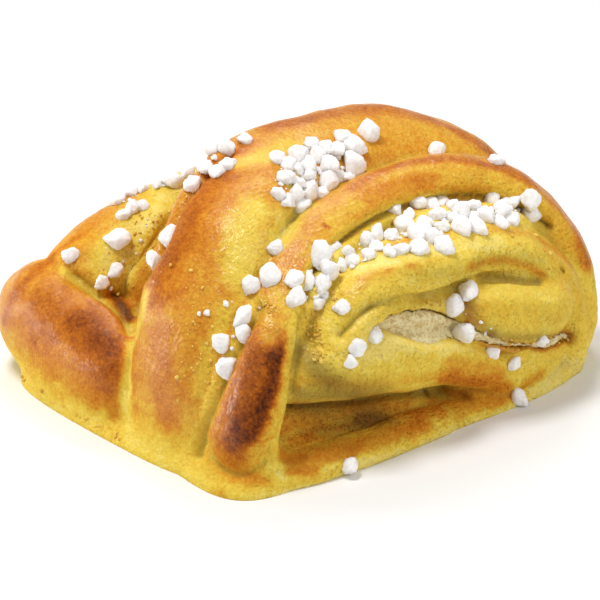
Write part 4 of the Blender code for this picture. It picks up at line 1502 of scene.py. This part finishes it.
TORN_DOUGH: tuple[tuple[Line, float, int], ...] = (
    (((2.2, -3), (2.8, -7), (3.4, -11)), 1.8, 70),
    (((-8, -0.4), (-6.4, -1.4), (-5, -2.2)), 1.2, 44),
    (((8, 3), (4, -1)), 2.4, 24),
    (((-57, -14.5), (-46, -22), (-36, -27.6)), 0.7, 40),
    (((24, -1), (28, 0)), 1.2, 14),
    (((38, -8), (46, -8.6), (54, -7.6)), 0.7, 50),
    (((34, 13), (44, 12), (52, 8)), 2.6, 30),
    (((-37, 5), (-31, 12), (-25, 20)), 5.0, 80),
    (((-20, 6), (-20, -6), (-20, -20)), 5.0, 60),
)


@dataclass
class Strewn:
    """Small lumps strewn on the bun from the seen side; their size is in millimetres."""

    name: str
    seed: int
    finish: GrainyFinish
    corners: int = 12
    golden_turn: float = math.pi * (3 - math.sqrt(5))
    uneven: float = 0.22  # how far the corners stray from an even spread
    blocky: float = 4.0  # 2 is a ball, more is a block
    radius: Pair = (0.44, 0.56)
    kinds: int = 12
    long: Pair = (0.85, 1.25)
    wide: Pair = (0.8, 1.05)
    flat: float = 0.78
    sink: float = 0.28
    floor: float = 0.6  # no lump reaches lower than this
    rounding: int = 2  # how often each lump is subdivided
    crease: float = 0.4
    swell: float = 1.04  # makes up for what the rounding takes off
    crystal_size: float = 0.7
    crystal_height: float = 0.9
    seen: SeenSide = SeenSide()

    def places(self) -> list[Triple]:
        """Find where each lump lies: across, up and size."""
        raise NotImplementedError

    def lump(self, name: str, draw: random.Random) -> Object:
        """Make one kind of lump, a millimetre across.

        Args:
            name: its name.
            draw: the seeded draws that shape it.

        Returns:
            The lump, a convex hull of a few corners.
        """
        bm = bmesh.new()
        turn = draw.uniform(0, math.tau)
        for number in range(self.corners):
            height = 1 - (2 * number + 1) / self.corners
            around = turn + number * self.golden_turn
            reach = math.sqrt(1 - height * height)
            corner = Vector((reach * math.cos(around), reach * math.sin(around), height))
            corner += Vector([draw.gauss(0, self.uneven) for _ in range(3)])
            corner /= sum(abs(side) ** self.blocky for side in corner) ** (1 / self.blocky)
            bm.verts.new(corner * draw.uniform(*self.radius))
        hull = bmesh.ops.convex_hull(bm, input=bm.verts)
        inner = [geom for geom in hull["geom_interior"] if isinstance(geom, bmesh.types.BMVert)]
        bmesh.ops.delete(bm, geom=inner, context="VERTS")
        bmesh.ops.recalc_face_normals(bm, faces=bm.faces)
        mesh = bpy.data.meshes.new(name)
        bm.to_mesh(mesh)
        bm.free()
        return bpy.data.objects.new(name, mesh)

    def seats(self, grounds: tuple[Object, ...]) -> Object:
        """Lay one point for each lump on what is seen there, with its turn, stretch and kind.

        Args:
            grounds: the pieces that the lumps can lie on.

        Returns:
            An object of points.
        """
        ground = BVHTree.FromPolygons(*merged(
            ([vert.co for vert in obj.data.vertices], [face.vertices for face in obj.data.polygons])
            for obj in grounds))
        draw = random.Random(self.seed + 1)
        centres: list[Vector] = []
        turns: list[float] = []
        stretches: list[float] = []
        kinds: list[int] = []
        for across, up, size in self.places():
            hit, normal, _, _ = ground.ray_cast(self.seen.eye, self.seen.ray(across, up))
            stretch = Vector((draw.uniform(*self.long), draw.uniform(*self.wide), self.flat))
            turn = Matrix.Rotation(draw.uniform(0, math.tau), 3, "Z")
            kind = draw.randrange(self.kinds)
            if hit is not None:
                centres.append(hit + normal * size * 0.5 * (self.flat - 2 * self.sink))
                turns.extend((normal.to_track_quat("Z", "Y").to_matrix() @ turn).to_euler())
                stretches.extend(stretch * size)
                kinds.append(kind)
        seats = new_object(self.name, centres, [])
        store(seats, "turn", "FLOAT_VECTOR", turns)
        store(seats, "stretch", "FLOAT_VECTOR", stretches)
        store(seats, "kind", "INT", kinds)
        return seats

    def tree(self, kinds: bpy.types.Collection, material: bpy.types.Material) -> bpy.types.NodeTree:
        """Make the nodes that put a rounded, crystal-rough lump on each seat.

        Args:
            kinds: the kinds of lump.
            material: their finish.

        Returns:
            The geometry node tree.
        """
        tree = bpy.data.node_groups.new("strew_" + self.name, "GeometryNodeTree")
        faces = (("Seats", "INPUT", "Geometry"), ("Swell", "INPUT", "Float"),
                 ("Crystal Size", "INPUT", "Float"), ("Crystal Height", "INPUT", "Float"),
                 ("Nibs", "OUTPUT", "Geometry"))
        for name, way, kind in faces:
            tree.interface.new_socket(name, in_out=way, socket_type="NodeSocket" + kind)
        given = tree.nodes.new("NodeGroupInput").outputs
        board = Board(tree)

        def read(name: str, kind: str) -> Socket:
            """Read the attribute name of a kind."""
            return board.add("GeometryNodeInputNamedAttribute", {"Name": name}, data_type=kind)

        def scaled(vector: Socket, scale: Socket) -> Socket:
            """Multiply a vector by a number."""
            return board.add("ShaderNodeVectorMath", {0: vector, "Scale": scale}, operation="SCALE")

        stock = board.add("GeometryNodeCollectionInfo", {
            "Collection": kinds, "Separate Children": True, "Reset Children": True})
        turn = board.add("FunctionNodeEulerToRotation", {0: read("turn", "FLOAT_VECTOR")})
        seat = board.add("GeometryNodeInstanceOnPoints", {
            "Points": given["Seats"], "Instance": stock, "Pick Instance": True,
            "Instance Index": read("kind", "INT"), "Rotation": turn,
            "Scale": scaled(read("stretch", "FLOAT_VECTOR"), given["Swell"])})
        real = board.add("GeometryNodeRealizeInstances", {0: seat})
        rounded = board.add("GeometryNodeSubdivisionSurface", {
            "Mesh": real, "Level": self.rounding, "Edge Crease": self.crease})
        crystal = board.add("ShaderNodeTexNoise", {
            "Scale": board.math("DIVIDE", 1.0, given["Crystal Size"]), "Detail": 2.0})
        centred = board.math("SUBTRACT", crystal, NOISE_MEAN)
        height = board.math("MULTIPLY", centred, given["Crystal Height"])
        rough = board.add("GeometryNodeSetPosition", {
            "Geometry": rounded, "Offset": scaled(board.add("GeometryNodeInputNormal"), height)})
        dressed = board.add("GeometryNodeSetMaterial", {"Geometry": rough, "Material": material})
        board.set(tree.nodes.new("NodeGroupOutput").inputs[0], dressed)
        return tree

    def build(self, *grounds: Object) -> Object:
        """Make the lumps, still in the layout.

        Args:
            grounds: the pieces that they lie on.

        Returns:
            The lumps as one mesh.
        """
        draw = random.Random(self.seed + 2)
        kinds = bpy.data.collections.new(self.name + "_kinds")
        for number in range(self.kinds):
            kinds.objects.link(self.lump(f"{self.name}_kind_{number:02d}", draw))
        lumps = self.seats(grounds)
        material = self.finish.material()
        modifier = lumps.modifiers.new("strew", "NODES")
        modifier.node_group = self.tree(kinds, material)
        values = {"Swell": self.swell, "Crystal Size": self.crystal_size,
                  "Crystal Height": self.crystal_height}
        for item in modifier.node_group.interface.items_tree:
            if item.name in values:
                modifier[item.identifier] = values[item.name]
        apply_modifiers(lumps)
        for lump in list(kinds.objects):
            bpy.data.objects.remove(lump)
        bpy.data.collections.remove(kinds)
        for vert in lumps.data.vertices:
            vert.co.z = max(vert.co.z, self.floor)
        dress(lumps, material)
        return lumps


@dataclass
class PearlSugar(Strewn):
    """Nibs of pressed sugar that sit in the crust, as the solid model has them."""

    name: str = "pearl_sugar"
    seed: int = 46
    finish: GrainyFinish = PRESSED_SUGAR
    drifts: tuple[tuple[Line, float, int, float], ...] = DRIFTS
    singles: tuple[Triple, ...] = SINGLES
    sizes: Pair = (0.72, 1.25)  # of a drift's nibs, in its own size
    apart: float = 0.30  # least way between two nibs, in their sizes together
    tries: int = 60  # draws for each nib of a drift, at most

    def places(self) -> list[Triple]:
        """Find where each nib lies, the drifts filled by seeded draws.

        Returns:
            Across, up and size of each.
        """
        draw = random.Random(self.seed)
        places = list(self.singles)
        for line, breadth, count, mean in self.drifts:
            full = len(places) + count
            for _ in range(count * self.tries):
                if len(places) == full:
                    break
                here = through(flat(line), draw.random())
                across = here.x + draw.uniform(-breadth, breadth)
                up = here.y + draw.uniform(-breadth, breadth)
                size = mean * draw.uniform(*self.sizes)
                if all(math.hypot(across - a, up - u) > self.apart * (size + s)
                       for a, u, s in places):
                    places.append((across, up, size))
        return places


@dataclass
class Crumbs(Strewn):
    """Crumbs along lines on the bun, smaller and more numerous than the nibs."""

    patches: tuple[tuple[Line, float, int], ...] = ()
    smallest: float = 0.3
    largest: float = 1.5
    fineness: int = 3  # the higher, the more of them are small
    corners: int = 10
    kinds: int = 8
    sink: float = 0.2
    rounding: int = 1

    def places(self) -> list[Triple]:
        """Find where each crumb lies, most of them small.

        Returns:
            Across, up and size of each.
        """
        draw = random.Random(self.seed)
        places = []
        for line, breadth, count in self.patches:
            for _ in range(count):
                here = through(flat(line), draw.random())
                size = self.smallest + (self.largest - self.smallest) * draw.random() ** self.fineness
                places.append((here.x + draw.gauss(0, breadth / 2),
                               here.y + draw.gauss(0, breadth / 2), size))
        return places


@dataclass(frozen=True)
class Lamp:
    """Soft lamp: metres to the right of the bun as seen, towards the eye and up, width, watts."""

    name: str
    across: float
    front: float
    up: float
    size: float
    power: float


@dataclass
class Studio:
    """Pale floor, soft lights and the camera at the seen side."""

    seen: SeenSide = SeenSide()
    sensor: float = 36.0
    frame_width: float = 120.0  # millimetres across the picture at the bun
    far: float = 10.0  # metres
    lamps: tuple[Lamp, ...] = (
        Lamp("key", -0.16, 0.03, 0.55, 0.15, 2.1),
        Lamp("back", -0.03, -0.34, 0.42, 0.22, 0.85),
        Lamp("left", -0.42, -0.05, 0.06, 0.085, 0.62),
        Lamp("fill", 0.40, 0.30, 0.34, 0.40, 1.2),
    )
    aim: float = 0.02  # height that they point at, in metres
    sky: float = 0.34
    floor_reach: float = 3000.0
    finish: FloorFinish = FloorFinish()

    def hang(self, name: str, data: bpy.types.ID, place: Vector, way: Vector) -> Object:
        """Put a lamp or camera in place.

        Args:
            name: its name.
            data: the lamp or camera.
            place: where it is, in metres.
            way: the direction it looks in.

        Returns:
            Its object.
        """
        obj = bpy.data.objects.new(name, data)
        bpy.context.scene.collection.objects.link(obj)
        obj.location = place
        obj.rotation_mode = "QUATERNION"
        obj.rotation_quaternion = way.to_track_quat("-Z", "Y")
        return obj

    def camera(self) -> None:
        """Put the camera at the seen side."""
        data = bpy.data.cameras.new("camera")
        data.sensor_width = self.sensor
        data.lens = self.seen.distance / self.frame_width * self.sensor
        data.clip_end = self.far
        place = (self.seen.eye + LAYOUT_SHIFT) * MM
        bpy.context.scene.camera = self.hang("camera", data, place, -self.seen.back)

    def light(self) -> None:
        """Hang the lamps and light the sky."""
        for lamp in self.lamps:
            data = bpy.data.lights.new(lamp.name, "AREA")
            data.size = lamp.size
            data.energy = lamp.power
            place = self.seen.right * lamp.across + self.seen.toward * lamp.front
            place += Vector((0, 0, lamp.up))
            self.hang(lamp.name, data, place, Vector((0, 0, self.aim)) - place)
        world = bpy.data.worlds.new("studio")
        world.use_nodes = True
        background = world.node_tree.nodes["Background"]
        background.inputs["Color"].default_value = (1, 1, 1, 1)
        background.inputs["Strength"].default_value = self.sky
        bpy.context.scene.world = world

    def floor(self) -> None:
        """Lay the floor."""
        far = self.floor_reach * MM
        corners = [Vector((x * far, y * far, 0)) for x, y in ((-1, -1), (1, -1), (1, 1), (-1, 1))]
        floor = new_object("floor", corners, [(0, 1, 2, 3)])
        dress(floor, self.finish.material())

    def build(self) -> None:
        """Set up the studio."""
        self.camera()
        self.light()
        self.floor()
        bpy.context.scene.view_settings.view_transform = "Standard"


def place(obj: Object, node: str | None, slot: str | None) -> None:
    """Let a piece ride on the bun.

    Args:
        obj: the finished piece.
        node: solid that it stands for, if any.
        slot: material slot of the record, if any; not used.
    """
    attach(obj, "root")
    if node:
        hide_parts(node)
    LOG.info("%s: %d triangles", obj.name, triangles(obj))


def main() -> None:
    """Build the bun's pieces and the studio."""
    logging.basicConfig(level=logging.INFO, format="%(name)s %(message)s")
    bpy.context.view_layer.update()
    baker = Dough()
    dough = baker.melt()
    paste = Filling().build(dough)
    baker.build(dough)
    sugar = PearlSugar().build(dough, paste)
    dust = Crumbs("sugar_crumbs", 7, PRESSED_SUGAR, patches=SUGAR_DUST).build(dough, paste)
    torn = Crumbs("dough_crumbs", 11, DRY_CRUMBS, patches=TORN_DOUGH, largest=0.9).build(dough)
    for piece in (dough, paste, sugar, dust, torn):
        settle(piece)
    place(dough, "bun", "saffron_dough")
    place(sugar, "bun", None)
    place(paste, "filling", "almond_filling")
    place(dust, None, None)
    place(torn, None, None)
    Studio().build()


if __name__ == "__main__":
    main()
